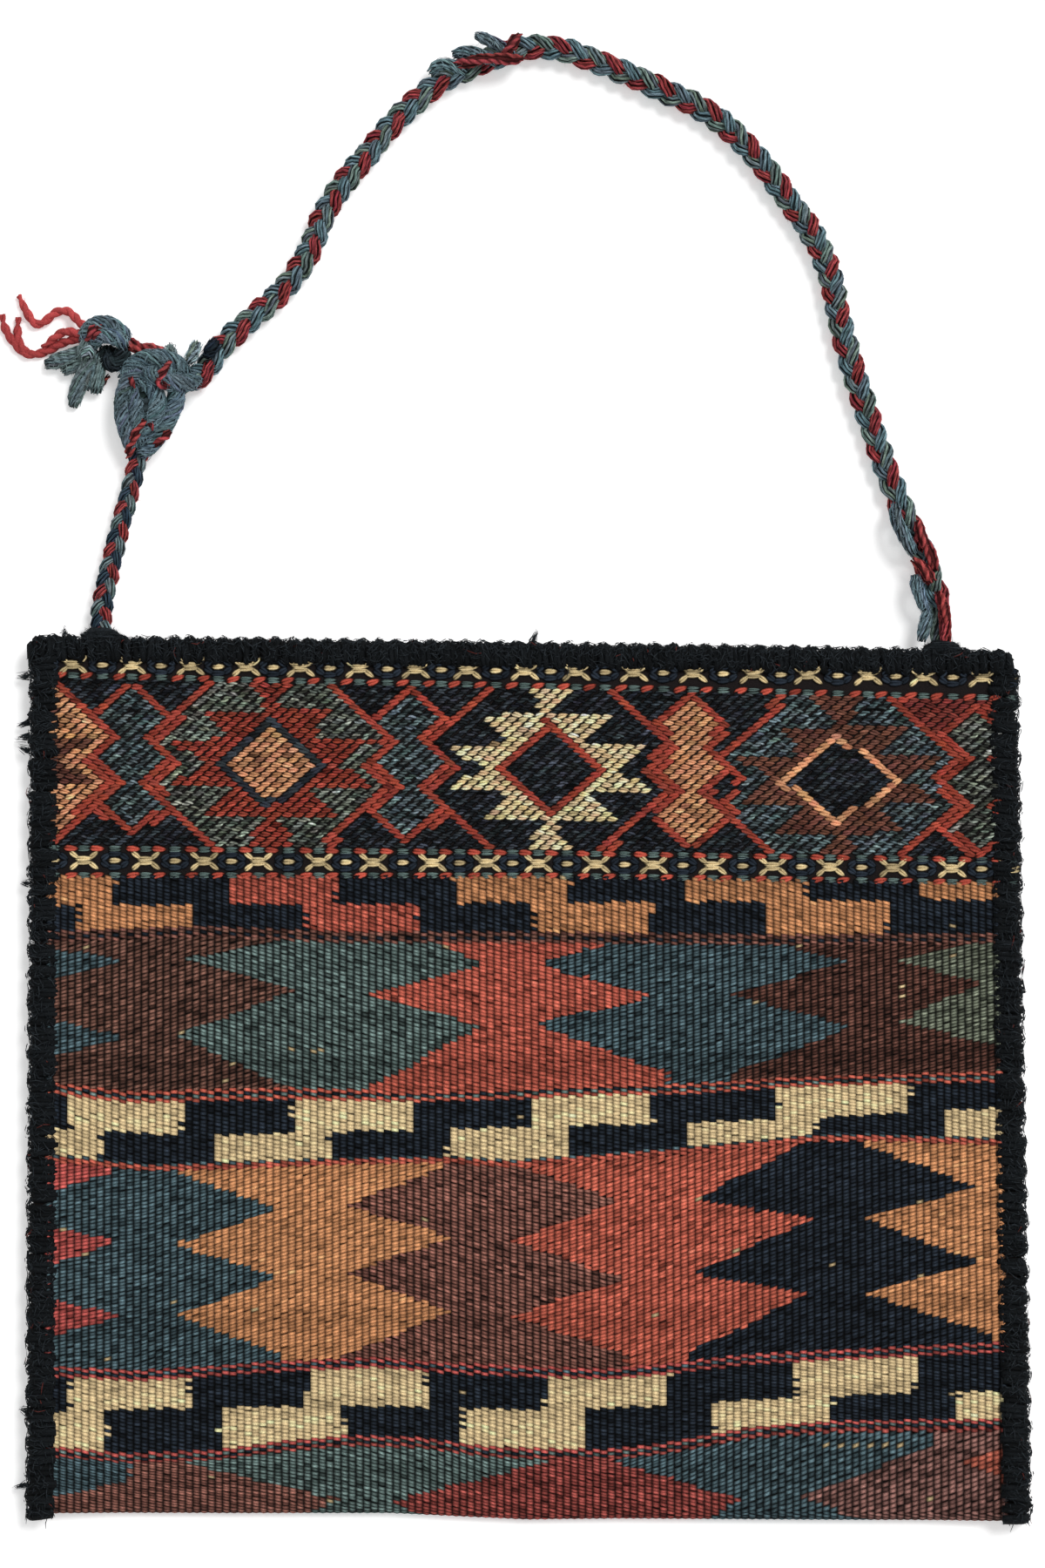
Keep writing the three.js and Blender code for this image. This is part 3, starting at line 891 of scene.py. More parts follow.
def make_weave(name, ribs, top, bottom, row_pitch, dye_rule, bead, bead_height, settle):
    """Beads of some ribs between two levels; settle is how far they are pressed into the cloth."""
    rows = np.arange(math.floor((top - bottom) / row_pitch))
    rib, row = (grid.ravel() for grid in np.meshgrid(ribs, rows, indexing="ij"))
    level = top - (row + 0.5 + 0.5 * (rib % 2)) * row_pitch
    across = (rib - (rib_count - 1) / 2) * rib_pitch
    spread = across[:, None] + bead_across * rib_pitch
    upward = level[:, None] / bag_height + 0.5
    x = leaned_x(spread, np.clip(upward, 0, 1))
    middle_x = x[:, crown]
    middle_y = course_height(middle_x, level)
    dyes = dye_rule(middle_x, middle_y, level, rib)
    next_dyes = dye_rule(middle_x + rib_pitch, middle_y, level, rib)
    at_edge = np.any(dyes != next_dyes, axis=1)
    slant = (weft_slants(middle_x, middle_y, level) + chance.normal(0, slant_spread, len(row)))[:, None]
    # Painted shade: each bead's rim is darkened by a blend of the two profiles, set by how pale its dye is
    lit = smooth(dyes.max(axis=1), darkest_dye, lightest_dye)[:, None]
    shades = dark_bead_shade + lit * (light_bead_shade - dark_bead_shade)
    uneven = chance.normal(0, bead_spread, (len(row), 1))
    y = course_height(x, level[:, None] + (bead_along + slant * bead_across + uneven) * row_pitch)
    on_fold = (level < level_of(fold_course)) & (level > fold_end)
    relief = bead_height * np.where(on_fold, 1 - fold_flatness, 1)[:, None] * bead_rise
    points = above_floor(on_cloth(x, y, relief - settle), floor_gap)
    light = row_lights[row] * chance.normal(1, bead_light_spread - pale_calm * lit[:, 0], len(row))
    dyes = dyes * np.clip(light, *bead_lights)[:, None]
    speck = chance.random(len(row)) < np.where(at_edge, edge_speck_share, speck_share)
    dyes = np.where(speck[:, None], cream * speck_light, dyes)
    for (left, right), height, share, lightness in worn_rows:
        worn = (middle_x > left) & (middle_x < right) & (np.abs(middle_y - height) < front_row / 2)
        worn &= chance.random(len(row)) < share
        dyes = np.where(worn[:, None], cream * lightness, dyes)
    weave = Piece(name, "kilim_wool")
    rim = len(bead) - 1
    faces = np.array([(rim, (k + 1) % rim, k) for k in range(rim)])
    places = np.stack([bead_across, bead_along / np.ptp(bead_along)], axis=-1)[bead] + 0.5
    weave.add(points[:, bead], faces, dyes[:, None], places[faces], shades[:, bead])
    return weave.make(wool)


back_end = fold_end - (mouth_inner - fold_start)
middle_rib = rib_count // 2
left_weave, right_weave = (
    make_weave(
        name, ribs, level_of(weave_top), fold_end, front_row, front_dyes, whole_bead, front_bead_height, 0)
    for name, ribs in (
        ("front_weave_left", np.arange(middle_rib)),
        ("front_weave_right", np.arange(middle_rib, rib_count)),
    ))
back_weave = make_weave(
    "back_weave", np.arange(rib_count), fold_end, back_end, back_row, back_dyes, plain_bead, back_bead_height,
    back_bead_height)


# Wrapped field above the bands: medallions and columns of lozenges, each from one quarter mirrored

medallion_places = [(-176.5, 105), (-84.5, 104), (7.5, 102.5), (103.5, 98.5)]
column_places = [(-130.5, 105), (-38.5, 103.5), (54.5, 101.5), (150, 98)]
column_dyes = [field_blue, field_blue, field_gold, field_green]
medallion_quarter = [(14.5, 29), (37.4, 7.6), (30.2, 0)]
star_quarter = [(9.5, 27.5), (0.6, 17.6), (21.8, 17.6), (12.8, 8.4), (34.5, 7.4), (22, 0)]
column_quarter = [(0.5, 22.8), (10, 15), (2.4, 7.7), (10.8, 0)]
corner_patch = [(121, 128), (161, 126), (137, 111)]
outline_reach = 2.7
medallion_dyes = [
    (field_gold, field_brown, field_navy, field_navy),
    (field_green, field_red, field_navy, field_gold),
    (field_navy, field_cream, field_red, field_navy),
    (field_blue, field_brown, field_gold, field_navy),
]
rim_halves = [(19.1, 15), (19.1, 15), (19.3, 16.8), (21.7, 15.4)]
heart_halves = [(14, 12), (14, 12), (14.5, 12.4), (17.9, 12.7)]
fill_turn = 0.1
outline_turn = 0.26
warm_ratio = 1.5
cool_lights = (0.4, 1.75)
field_hue_spread = 0.05
no_length = 1e-9


def mirrored(middle, quarter):
    """A closed outline from its upper right quarter, mirrored down and to the left."""
    right = quarter + [(x, -y) for x, y in quarter[::-1]]
    whole = right + [(-x, y) for x, y in right[::-1]]
    return [(middle[0] + x, middle[1] + y) for x, y in whole]


def diamond(middle, halves):
    return mirrored(middle, [(0, halves[1]), (halves[0], 0)])


def inside(x, y, outline):
    """Which points lie in an outline, by the edges that lie to their right."""
    within = np.zeros(x.shape, bool)
    for (x0, y0), (x1, y1) in zip(outline, outline[1:] + outline[:1]):
        spans = (y0 > y) != (y1 > y)
        rise = y1 - y0 if y1 != y0 else 1
        within ^= spans & (x < x0 + (y - y0) * (x1 - x0) / rise)
    return within


def nearest_edge(x, y, outline):
    """Distance to an outline's nearest edge, and which way that slopes: 1 up to the right, -1 down."""
    distance = np.full(x.shape, np.inf)
    slope = np.zeros(x.shape)
    for (x0, y0), (x1, y1) in zip(outline, outline[1:] + outline[:1]):
        length2 = max((x1 - x0) ** 2 + (y1 - y0) ** 2, no_length)
        share = np.clip(((x - x0) * (x1 - x0) + (y - y0) * (y1 - y0)) / length2, 0, 1)
        away = np.hypot(x - x0 - share * (x1 - x0), y - y0 - share * (y1 - y0))
        slope = np.where(away < distance, np.sign((x1 - x0) * (y1 - y0)), slope)
        distance = np.minimum(away, distance)
    return distance, slope


def field_pattern(x, y):
    """Dye and turn of each stitch of the wrapped field."""
    shown = np.broadcast_to(field_navy, (*x.shape, 3)).copy()
    turn = fill_turn * np.where(chance.random(x.shape) < 0.5, -1, 1)

    def fill(outline, tint):
        shown[inside(x, y, outline)] = tint

    def follow(outline, chosen, tint):
        _, slope = nearest_edge(x, y, outline)
        shown[chosen] = tint
        turn[chosen] = outline_turn * slope[chosen]

    fill(corner_patch, maroon)
    for middle, (ground, star, rim, heart), rim_half, heart_half in zip(
            medallion_places, medallion_dyes, rim_halves, heart_halves):
        fill(mirrored(middle, medallion_quarter), ground)
        fill(mirrored(middle, star_quarter), star)
        rim_line = diamond(middle, rim_half)
        follow(rim_line, inside(x, y, rim_line), rim)
        heart_line = diamond(middle, heart_half)
        fill(heart_line, heart)
        turn[inside(x, y, heart_line)] = 0
    shapes = [mirrored(middle, medallion_quarter) for middle in medallion_places]
    for middle, column_dye in zip(column_places, column_dyes):
        column = mirrored(middle, column_quarter)
        fill(column, column_dye)
        shapes.append(column)
    within = np.any([inside(x, y, shape) for shape in shapes], axis=0)
    for shape in shapes:
        distance, _ = nearest_edge(x, y, shape)
        follow(shape, ~within & (distance < outline_reach), field_red)
    cool = shown[:, 0] < warm_ratio * shown[:, 2]
    uneven = np.where(cool, chance.uniform(*cool_lights, len(x)), 1)
    faded = 1 + field_hue_spread * chance.normal(size=shown.shape)
    return shown * uneven[:, None] * faded, turn


# Stitches of the wrapped field and of the two borders of crosses beside it

stitch_pitch = 3.7
stitch_row = 1.62
stitch_height = 1.05
field_half = 157.5
stitch_run = [-1, -0.6, 0, 0.6, 1]
stitch_breadth = [-1, 0, 1]
stitch_taper = 0.9
stitch_light_spread = 0.2
stitch_turn_spread = 0.1
ply_apart = 0.5
ply_lean = 0.2
ply_crown = 0.75
end_fall = 0.62
sunk_share = 0.3
# Painted shade of stitches: how far the inner edge of plies that lie as one is lifted, and how dark the ends
# are
inner_shade = 0.55
end_shade = 0.85
mottle_range = (0.1, 2.4)
outline_size = (1.16, 1.5)
fill_size = (1.06, 1.2)
warm_fatness = 0.7

# Form of a stitch's two plies, first where they lie apart and then where they lie as one
ply_lengths = (0.85, 1)
ply_shifts = (0.3, 0.03)
ply_breadths = (0.68, 0.56)
ply_light_spreads = (0.35, 0.07)
mottle_spreads = (0.5, 0.05)


def by_fatness(pair, fat):
    return pair[0] + (pair[1] - pair[0]) * fat


class Stitches:
    """Gathers stitches: places, turns, lengths, widths, dyes and how far their two plies lie as one."""

    def __init__(self):
        self.rows = []

    def add(self, x, y, turn, length, width, tint, fat=1.0):
        columns = [np.broadcast_to(value, np.size(x)) for value in (x, y, turn, length, width, fat)]
        rows = np.column_stack([*columns, np.broadcast_to(tint, (np.size(x), 3))])
        self.rows.append(rows[np.abs(x) < field_half + stitch_pitch])

    def make(self, name):
        rows = np.concatenate(self.rows)
        x, y, turn, length, width, fat = (rows[:, column, None] for column in range(6))
        run, breadth = (grid.ravel() for grid in np.meshgrid(stitch_run, stitch_breadth, indexing="ij"))
        narrowing = np.sqrt(1 - stitch_taper * run**2)
        grid = np.arange(len(run)).reshape(len(stitch_run), len(stitch_breadth))
        faces = np.stack([grid[:-1, :-1], grid[1:, :-1], grid[1:, 1:], grid[:-1, 1:]], axis=-1).reshape(-1, 4)
        face_places = np.stack([run + 1, breadth + 1], axis=-1)[faces] / 2
        light = chance.normal(1, stitch_light_spread, (len(rows), 1, 1))
        piece = Piece(name, "kilim_wool")
        for ply in (-1, 1):
            lengthwise = (by_fatness(ply_lengths, fat) * run + by_fatness(ply_shifts, fat) * ply) * length / 2
            sideways = ply_apart * ply + by_fatness(ply_breadths, fat) * breadth - ply_lean * ply * run
            sideways = sideways * narrowing * width / 2
            # Painted shade: each ply darker at its edges and ends, less so on the edge that meets the other
            # ply where they lie as one
            inner = np.maximum(-breadth * ply, 0)
            shade = (1 - breadth**2 + inner_shade * fat * inner) * (1 - end_shade * run**4)
            across = x + np.cos(turn) * lengthwise - np.sin(turn) * sideways
            upward = y + np.sin(turn) * lengthwise + np.cos(turn) * sideways
            rise = (1 - ply_crown * breadth**2) * (1 - end_fall * run**2) - sunk_share
            points = on_cloth(across, upward, stitch_height * rise)
            own_fat = fat[:, None]
            own_light = by_fatness(ply_light_spreads, own_fat) * chance.normal(size=(len(rows), 1, 1))
            mottle = by_fatness(mottle_spreads, own_fat) * chance.normal(size=(len(rows), len(run), 1))
            dyes = rows[:, None, 6:] * light * (1 + own_light) * np.clip(1 + mottle, *mottle_range)
            piece.add(points, faces, dyes, face_places, shade)
        return piece.make(wool)


def sew_field(stitches):
    top = level_of(field_top) - stitch_row
    rows = np.arange(math.floor((top - level_of(field_bottom)) / stitch_row))
    columns = np.arange(math.floor(2 * field_half / stitch_pitch))
    column, row = (grid.ravel() for grid in np.meshgrid(columns, rows, indexing="ij"))
    x = -field_half + (column + 0.5 * (row % 2) + 0.25) * stitch_pitch
    y = course_height(x, top - row * stitch_row)
    dyes, turn = field_pattern(x, y)
    on_outline = np.abs(turn) > fill_turn
    length = stitch_pitch * np.where(on_outline, outline_size[0], fill_size[0])
    width = stitch_row * np.where(on_outline, outline_size[1], fill_size[1])
    warm = dyes[:, 0] > warm_ratio * dyes[:, 2]
    fat = np.where(on_outline, 1, np.where(warm, warm_fatness, 0))
    stitches.add(x, y, turn + chance.normal(0, stitch_turn_spread, len(x)), length, width, dyes, fat)


# Parts of the borders: shifts right and up, turns, lengths and widths of their threads
cross_bar = 6.0
cross_thread = 1.9
bar_up = 0.65
arm_right = 3.2
arm_up = 1.8
arm_turn = 0.66
arm_length = 3.9
dot_length = 4.2
dot_thread = 2.1
ring_thread = 2.3
ring_up = 2.2
ring_length = 5
ring_side_right = 3.2
ring_side_up = 1.2
ring_side_turn = -0.6
ring_side_length = 3.6
dash_right = 4.3
dash_length = 4.9
dash_thread = 2.3
dash_light = 1.3
tie_up = 0.5
tie_length = 4.4
tie_thread = 1.1
upper_crosses = [
    -169, -150, -130.5, -111, -92.5, -74.5, -55, -36.5, -19.5, -0.5, 16.5, 35.5, 55, 75, 93, 113, 131.5,
    151, 170,
]
lower_crosses = [
    -166.5, -146.5, -126, -106.5, -88.5, -68.5, -50.5, -31, -13, 4, 23, 42, 61.5, 81.5, 100.5, 121.5, 141,
    160.5,
]


def height_along(course, x):
    return course_height(x, np.full(len(x), level_of(course)))


def sew_border(stitches, course, crosses):
    """Cream crosses of two bars and four arms, with a cream dot in a navy ring halfway to the next."""
    x = np.array(crosses, float)
    y = height_along(course, x)
    for up in (-1, 1):
        stitches.add(x, y + bar_up * up, 0, cross_bar, cross_thread, border_cream)
    for right in (-1, 1):
        for up in (-1, 1):
            stitches.add(
                x + arm_right * right, y + arm_up * up, arm_turn * right * up, arm_length, cross_thread,
                border_cream)
    ring = (x[1:] + x[:-1]) / 2
    ring_y = height_along(course, ring)
    stitches.add(ring, ring_y, 0, dot_length, dot_thread, border_cream)
    for up in (-1, 1):
        stitches.add(ring, ring_y + ring_up * up, 0, ring_length, ring_thread, navy)
        for right in (-1, 1):
            stitches.add(
                ring + ring_side_right * right, ring_y + ring_side_up * up, ring_side_turn * right * up,
                ring_side_length, ring_thread, navy)


def sew_dashes(stitches, course, crosses, lean):
    """A row of slanted red dashes beside the crosses' arms, with blue ones between them."""
    x = np.array(crosses, float)
    red = np.concatenate([x - dash_right, x + dash_right])
    stitches.add(red, height_along(course, red), lean, dash_length, dash_thread, field_red * dash_light)
    between = np.concatenate([x, (x[1:] + x[:-1]) / 2])
    for up in (-1, 1):
        stitches.add(between, height_along(course, between) + tie_up * up, 0, tie_length, tie_thread, teal)


stitches = Stitches()
sew_field(stitches)
sew_border(stitches, upper_border, upper_crosses)
sew_border(stitches, lower_border, lower_crosses)
sew_dashes(stitches, field_top, upper_crosses, 0.3)
sew_dashes(stitches, field_bottom, lower_crosses, -0.1)
sew_dashes(stitches, weave_top, lower_crosses, 0.2)
wrapped_field = stitches.make("wrapped_field")


# Ground cloth under the stitches: one folded sheet

skin_depth = 0.3
sheet_columns = 60
wall_rows = 24
fold_rows = 8


def make_ground():
    along = np.concatenate([np.linspace(lip_edge, fold_start, wall_rows), np.full(fold_rows, fold_start)])
    run = np.concatenate([np.zeros(wall_rows), np.linspace(0, np.pi * fold_radius, fold_rows + 2)[1:-1]])
    column_x = np.linspace(-cloth_edge, cloth_edge, sheet_columns)[:, None]
    x = leaned_x(column_x, np.clip(along / bag_height + 0.5, 0, 1))
    front = wall_line(x, along) - run
    back_along = np.linspace(fold_start, lip_edge, wall_rows)
    back_x = leaned_x(column_x, np.clip(back_along / bag_height + 0.5, 0, 1))
    start = wall_line(back_x, fold_start)
    back = start - np.pi * fold_radius - (wall_line(back_x, back_along) - start)
    sheet_x = np.concatenate([x, back_x], axis=1)
    sheet_y = np.concatenate([front, back], axis=1)
    outer = on_cloth(sheet_x, sheet_y, -skin_depth)
    inner = on_cloth(sheet_x, sheet_y, -cloth_thickness)
    rows = sheet_x.shape[1]
    loop = np.concatenate([outer, inner[:, ::-1]], axis=1)
    # The outside carries painted shade; the inside has the wool's own colour
    tints = np.where((np.arange(2 * rows) < rows)[:, None], ground_shadow, inside_wool)
    grid = np.arange(sheet_columns * 2 * rows).reshape(sheet_columns, 2 * rows)
    after = np.roll(grid, -1, axis=1)
    walls = np.stack([grid[:-1], grid[1:], after[1:], after[:-1]], axis=-1).reshape(-1, 4)
    ends = []
    for edge, turned in ((grid[0], 1), (grid[-1], -1)):
        pair = edge[::-1]
        strip = np.stack([edge[: rows - 1], edge[1:rows], pair[1:rows], pair[: rows - 1]], axis=-1)
        ends.append(strip[:, ::turned])
    faces = np.vstack([walls, *ends])
    places = np.stack(np.meshgrid(
        np.linspace(0, 1, sheet_columns), np.linspace(0, 1, 2 * rows), indexing="ij"), axis=-1).reshape(-1, 2)
    ground = Piece("kilim_cloth_ground", "kilim_wool", "kilim_cloth")
    ground.add(loop.reshape(1, -1, 3), faces, np.tile(tints, (sheet_columns, 1))[None], places[faces])
    return ground.make(wool)


ground = make_ground()


# Hair bindings: dark wraps round the edges, fine hairs matted over them, and hairs that stand off

base_pitch = 1.6
base_radius = 1.2
base_inset = 1.0
base_spacing = 2.4
base_floor_gap = 0.8
base_lights = (0.15, 0.4)
station_spread = 0.3
inset_spread = 0.2
slide_mean = 0.5
slide_spread = 0.6
red_hair_share = 0.01
red_hair_light = 0.35
hair_radius = 0.14
hair_taper = np.array([0.7, 1, 0.5])
hair_lights = (0.3, 1.5)
hair_spacing = 0.5
hair_floor_gap = 0.4
hair_run = 1.8
hair_bend = 0.6
hair_turn = 2.2
hair_loose = 0.3
hair_layer = 0.4
hair_arch = 0.3
hair_overhang = 0.6
tucked_share = 0.5
matted_from = -0.03
matted_share = 0.62
spike_hairs = 36
spike_lengths = (0.4, 1.0)
spike_spread = 0.7
spike_tip_spread = 0.3
spike_lights = (0.6, 1.6)
spike_radii = 0.11 * np.array([1, 1, 0.8, 0.3])
spike_floor_gap = 0.3
spike_sway = 2
spike_height = 2
side_spike_heights = (5, 4)
side_lump = 0.45
side_lump_length = 8.7
side_hairs = 2500
side_overlap = 2
mouth_lump = 0.5
mouth_lump_length = 5.8
mouth_end_inset = 1.4
mouth_corner_extra = 2.5
corner_cover = 0.3
front_mouth_hairs = 3300
back_mouth_hairs = 300


def overcast(first, last, section, place, lump, lump_length):
    """Lines of the wraps under the hairs; section holds (inward, z) points from the front to the back."""
    stations = np.arange(first, last, base_pitch)
    count = len(stations)
    stations = (stations + chance.normal(0, station_spread, count))[:, None]
    route = smooth_line([(inward, z, 0) for inward, z in section], base_spacing)
    middle_z = (route[:, 1].max() + route[:, 1].min()) / 2
    inward = route[:, 0] + base_inset + chance.normal(0, inset_spread, (count, 1))
    inward = inward + lump * np.sin(2 * np.pi * stations / lump_length)
    slide = stations + chance.normal(slide_mean, slide_spread, (count, 1)) * route[:, 0] / section[0][0]
    return place(slide, inward, route[:, 1] - base_inset * np.sign(route[:, 1] - middle_z))


def matted(first, last, section, place, lump, lump_length, count):
    """Lines of the hairs that lie over the front and the edge of a binding."""
    route = smooth_line([(inward, z, 0) for inward, z in section], hair_spacing)
    around = run_along(route)
    each = (count, 1)
    share = np.linspace(0, 1, 3)
    bend = np.sin(np.pi * share)
    station = chance.uniform(first, last, each) + share * chance.normal(0, hair_run, each)
    station = station + bend * chance.normal(0, hair_bend, each)
    turn = chance.uniform(matted_from, matted_share, each) * around[-1]
    turn = turn + share * chance.normal(0, hair_turn, each)
    inward = np.interp(turn, around, route[:, 0]) + tucked_share * np.maximum(-turn, 0)
    inward = inward + lump * np.sin(2 * np.pi * station / lump_length) + chance.normal(0, hair_loose, each)
    height = np.interp(turn, around, route[:, 1]) + chance.uniform(-hair_layer, hair_layer, each)
    height = height + hair_arch * bend
    return above_floor(place(station, np.maximum(inward, -hair_overhang), height), hair_floor_gap)


def add_spike(piece, root, tip):
    """A tuft of hairs of uneven length that lean together."""
    each = (spike_hairs, 1, 3)
    share = np.linspace(0, 1, 4)[None, :, None]
    reach = chance.uniform(*spike_lengths, (spike_hairs, 1, 1)) * (np.array(tip) - np.array(root))
    spread = chance.normal(0, spike_spread, each) * (1 - 0.5 * share)
    spread = spread + chance.normal(0, spike_tip_spread, each) * share**2
    hairs = np.array(root) + share * reach + spread
    dyes = hair_black * chance.uniform(*spike_lights, (spike_hairs, 1))
    add_tubes(piece, above_floor(hairs, spike_floor_gap), spike_radii, dyes, sides=4)


def add_hair_layers(piece, first, last, section, place, lump, lump_length, count):
    base = overcast(first, last, section, place, lump, lump_length)
    base_dyes = hair_black * chance.uniform(*base_lights, (len(base), 1))
    add_tubes(piece, above_floor(base, base_floor_gap), base_radius, base_dyes, sides=4)
    hairs = matted(first, last, section, place, lump, lump_length, count)
    dyes = hair_black * chance.uniform(*hair_lights, (count, 1))
    dyes = np.where(chance.random((count, 1)) < red_hair_share, deep_red * red_hair_light, dyes)
    add_tubes(piece, hairs, hair_radius * hair_taper, dyes, sides=4)


def side_binding(side, outward, foot, name, spikes):
    high = seam_thickness - hair_radius
    low = hair_radius
    section = [
        (side_binding_width + 0.6, high - 0.5), (5.5, high + 0.2), (2.2, high - 0.9),
        (1.1, seam_thickness / 2), (2.2, low + 0.9), (5.5, low), (side_binding_width, low + 0.5),
    ]

    def place(slide, inward, z):
        upward = slide / bag_height + 0.5
        x = leaned_x(side * (half_width + outward - inward), upward)
        y = wall_line(x, slide)
        return np.stack([x, y, np.broadcast_to(z, x.shape)], axis=-1)

    piece = Piece(name + "_hair", "goat_hair", name)
    add_hair_layers(
        piece, foot - half_height, mouth_inner + side_overlap, section, place, side_lump, side_lump_length,
        side_hairs)
    root_z, tip_z = side_spike_heights
    for height, reach in spikes:
        edge = leaned_x(side * half_width, height / bag_height + 0.5)
        tip_y = height + chance.uniform(-spike_sway, spike_sway)
        add_spike(piece, (edge - side, height, root_z), (edge + side * reach, tip_y, tip_z))
    piece.make(hair)


def mouth_binding(is_front, name, spikes):
    corner_radius = mouth_corner_radius + mouth_corner_extra
    base = lip_thickness + clearance if is_front else 0
    high = base + lip_thickness - hair_radius
    low = base + hair_radius
    section = [
        (mouth_binding_width - 1.4, high - 0.3), (5.4, high + 0.5), (2.6, high + 0.1),
        (1.2, (high + low) / 2), (2.6, low), (6, low), (mouth_binding_width, low),
    ]
    reach = half_width - mouth_end_inset

    def place(slide, inward, z):
        across = np.clip(slide, -reach, reach)
        into_corner = np.clip(np.abs(across) - (half_width - corner_radius), 0, corner_radius)
        rounded = corner_radius - np.sqrt(corner_radius**2 - into_corner**2)
        along = half_height - np.maximum(inward, rounded + corner_cover + np.minimum(inward, 0))
        x = leaned_x(across, along / bag_height + 0.5)
        bow = (mouth_opening - clearance) * swell(across) if is_front else 0
        return np.stack([x, wall_line(x, along), z + bow + 0 * x], axis=-1)

    piece = Piece(name + "_hair", "goat_hair", name)
    hairs = front_mouth_hairs if is_front else back_mouth_hairs
    add_hair_layers(piece, -reach, reach, section, place, mouth_lump, mouth_lump_length, hairs)
    for x, spike in spikes:
        top = wall_line(x, half_height)
        z = base + (mouth_opening - clearance) * swell(x) + spike_height
        add_spike(piece, (x, top - 1, z), (x + chance.uniform(-spike_sway, spike_sway), top + spike, z))
    piece.make(hair)


left_spikes = [(133, 3.2), (118, 3), (113, 3.8), (108, 2.8), (64, 1.6), (-111, 1.4), (-135.5, 3)]
side_binding(-1, 0, -0.4, "left_side_binding", left_spikes)
side_binding(1, 1.5, 0.8, "right_side_binding", [(126, 1.4), (28, 1.4)])
mouth_binding(True, "front_mouth_binding", [(2, 2.4), (-153, 1.2)])
mouth_binding(False, "back_mouth_binding", [])


# Whippings round the feet of the strap

whipping_wraps = 14
wrap_points = 13
wrap_rises = (-1.6, 0.5)
wrap_wave = 0.6
wrap_widths = (1.5, 0.9)
wrap_width_spread = 0.06
wrap_radius = 0.45
wrap_floor_gap = 0.6
wrap_lights = (0.3, 1.1)
wrap_fuzz_light = 1.2
wrap_fuzz_count = 700
wrap_fuzz_reach = 1.8
wrap_fuzz_thickness = 0.2


def whipping(name, line):
    """Uneven wraps of hair round the foot of a strap, down to the binding."""
    each = (whipping_wraps, 1)
    turn = np.linspace(0, 2 * np.pi, wrap_points) + chance.uniform(0, 2 * np.pi, each)
    rise = np.linspace(*wrap_rises, whipping_wraps)[:, None]
    rise = rise + wrap_wave * np.sin(turn + chance.uniform(0, 2 * np.pi, each))
    width = np.linspace(*wrap_widths, whipping_wraps)[:, None] + chance.normal(0, wrap_width_spread, each)
    foot = line[0]
    half = strap_diameter / 2
    loops = foot + np.stack([half * width * np.cos(turn), rise, half * np.sin(turn)], axis=-1)
    loops = above_floor(loops, wrap_floor_gap)
    piece = Piece(name + "_hair", "goat_hair", name)
    dyes = hair_black * chance.uniform(*wrap_lights, each)
    add_tubes(piece, loops, wrap_radius, dyes, sides=4)
    add_fuzz(
        piece, loops, dyes * wrap_fuzz_light, wrap_fuzz_count, wrap_fuzz_reach, wrap_fuzz_thickness, bends=0)
    piece.make(hair)


whipping("left_strap_whipping", short_line)
whipping("right_strap_whipping", long_line)


# Knots, tail and loose ends: bundles of yarn along listed routes

felt_curl = 0.4
felt_loose = 0.15
felt_lights = (0.35, 1.4)
felt_floor_gap = 0.3
felt_taper = np.array([0.5, 1, 0.5])
felt_length = 2.4
felt_thickness = 0.24
felt_cover = 0.8
taper_steps = 2
end_share = 0.35
tied_share = 0.6
bundle_lights = (0.6, 1.25)
bundle_hue_spread = 0.05
bundle_ply_length = 3.0
bundle_fuzz_light = 1.25
bundle_fuzz_reach = 1.8
knot_blue = strap_blue * 0.85
# Painted shade for the hollow under the tail knot
shaded_hollow_blue = strap_blue * 0.12
tuft_teal = strap_teal * 1.1
pale_teal = strap_teal * 1.8
end_teal = strap_teal * 1.7
end_navy = strap_navy * 0.4
red_turn_step = (2.2, 0, 0)

# Kinds of bundles: how many yarns, how far from the middle, how thick, and how they are twisted and covered
lobe = dict(yarns=11, spread=2.5, radius=0.6, spacing=1.5, twist_length=18.0, fuzz_count=120, felt_count=330)
knot_shadow_core = dict(yarns=6, spread=3.6, radius=2.2)
tuft_end = dict(yarns=7, spread=1.5, radius=0.6, spacing=1.0, twist_length=40.0, fuzz_count=60, felt_count=50)
red_bit = dict(yarns=2, spread=0.75, radius=0.85, spacing=0.8, twist_length=12.0)
tail_bundle = dict(yarns=4, spread=1.25, radius=1.0, fuzz_count=110)
coil = dict(yarns=10, spread=2.2, radius=0.6, spacing=1.4, twist_length=18.0, fuzz_count=90, felt_count=140)
tail_hollow = dict(yarns=4, spread=1.2, radius=1.0)
tail_red = dict(yarns=2, spread=0.8, radius=0.85, spacing=0.8, twist_length=12.0)
brush = dict(yarns=12, spread=2.0, radius=0.6, spacing=1.5, twist_length=60.0, fuzz_count=70, felt_count=90)
pale_curl = dict(yarns=7, spread=1.5, radius=0.6, spacing=1.0)
red_curl = dict(yarns=2, spread=0.5, radius=0.55, spacing=0.8, twist_length=10.0)
cut_end = dict(yarns=9, spread=1.6, radius=0.5, spacing=1.3, twist_length=60.0, fuzz_count=90, felt_count=60)
red_run = dict(yarns=3, spread=1.2, radius=0.85, spacing=1.0, twist_length=60.0, fuzz_count=60)


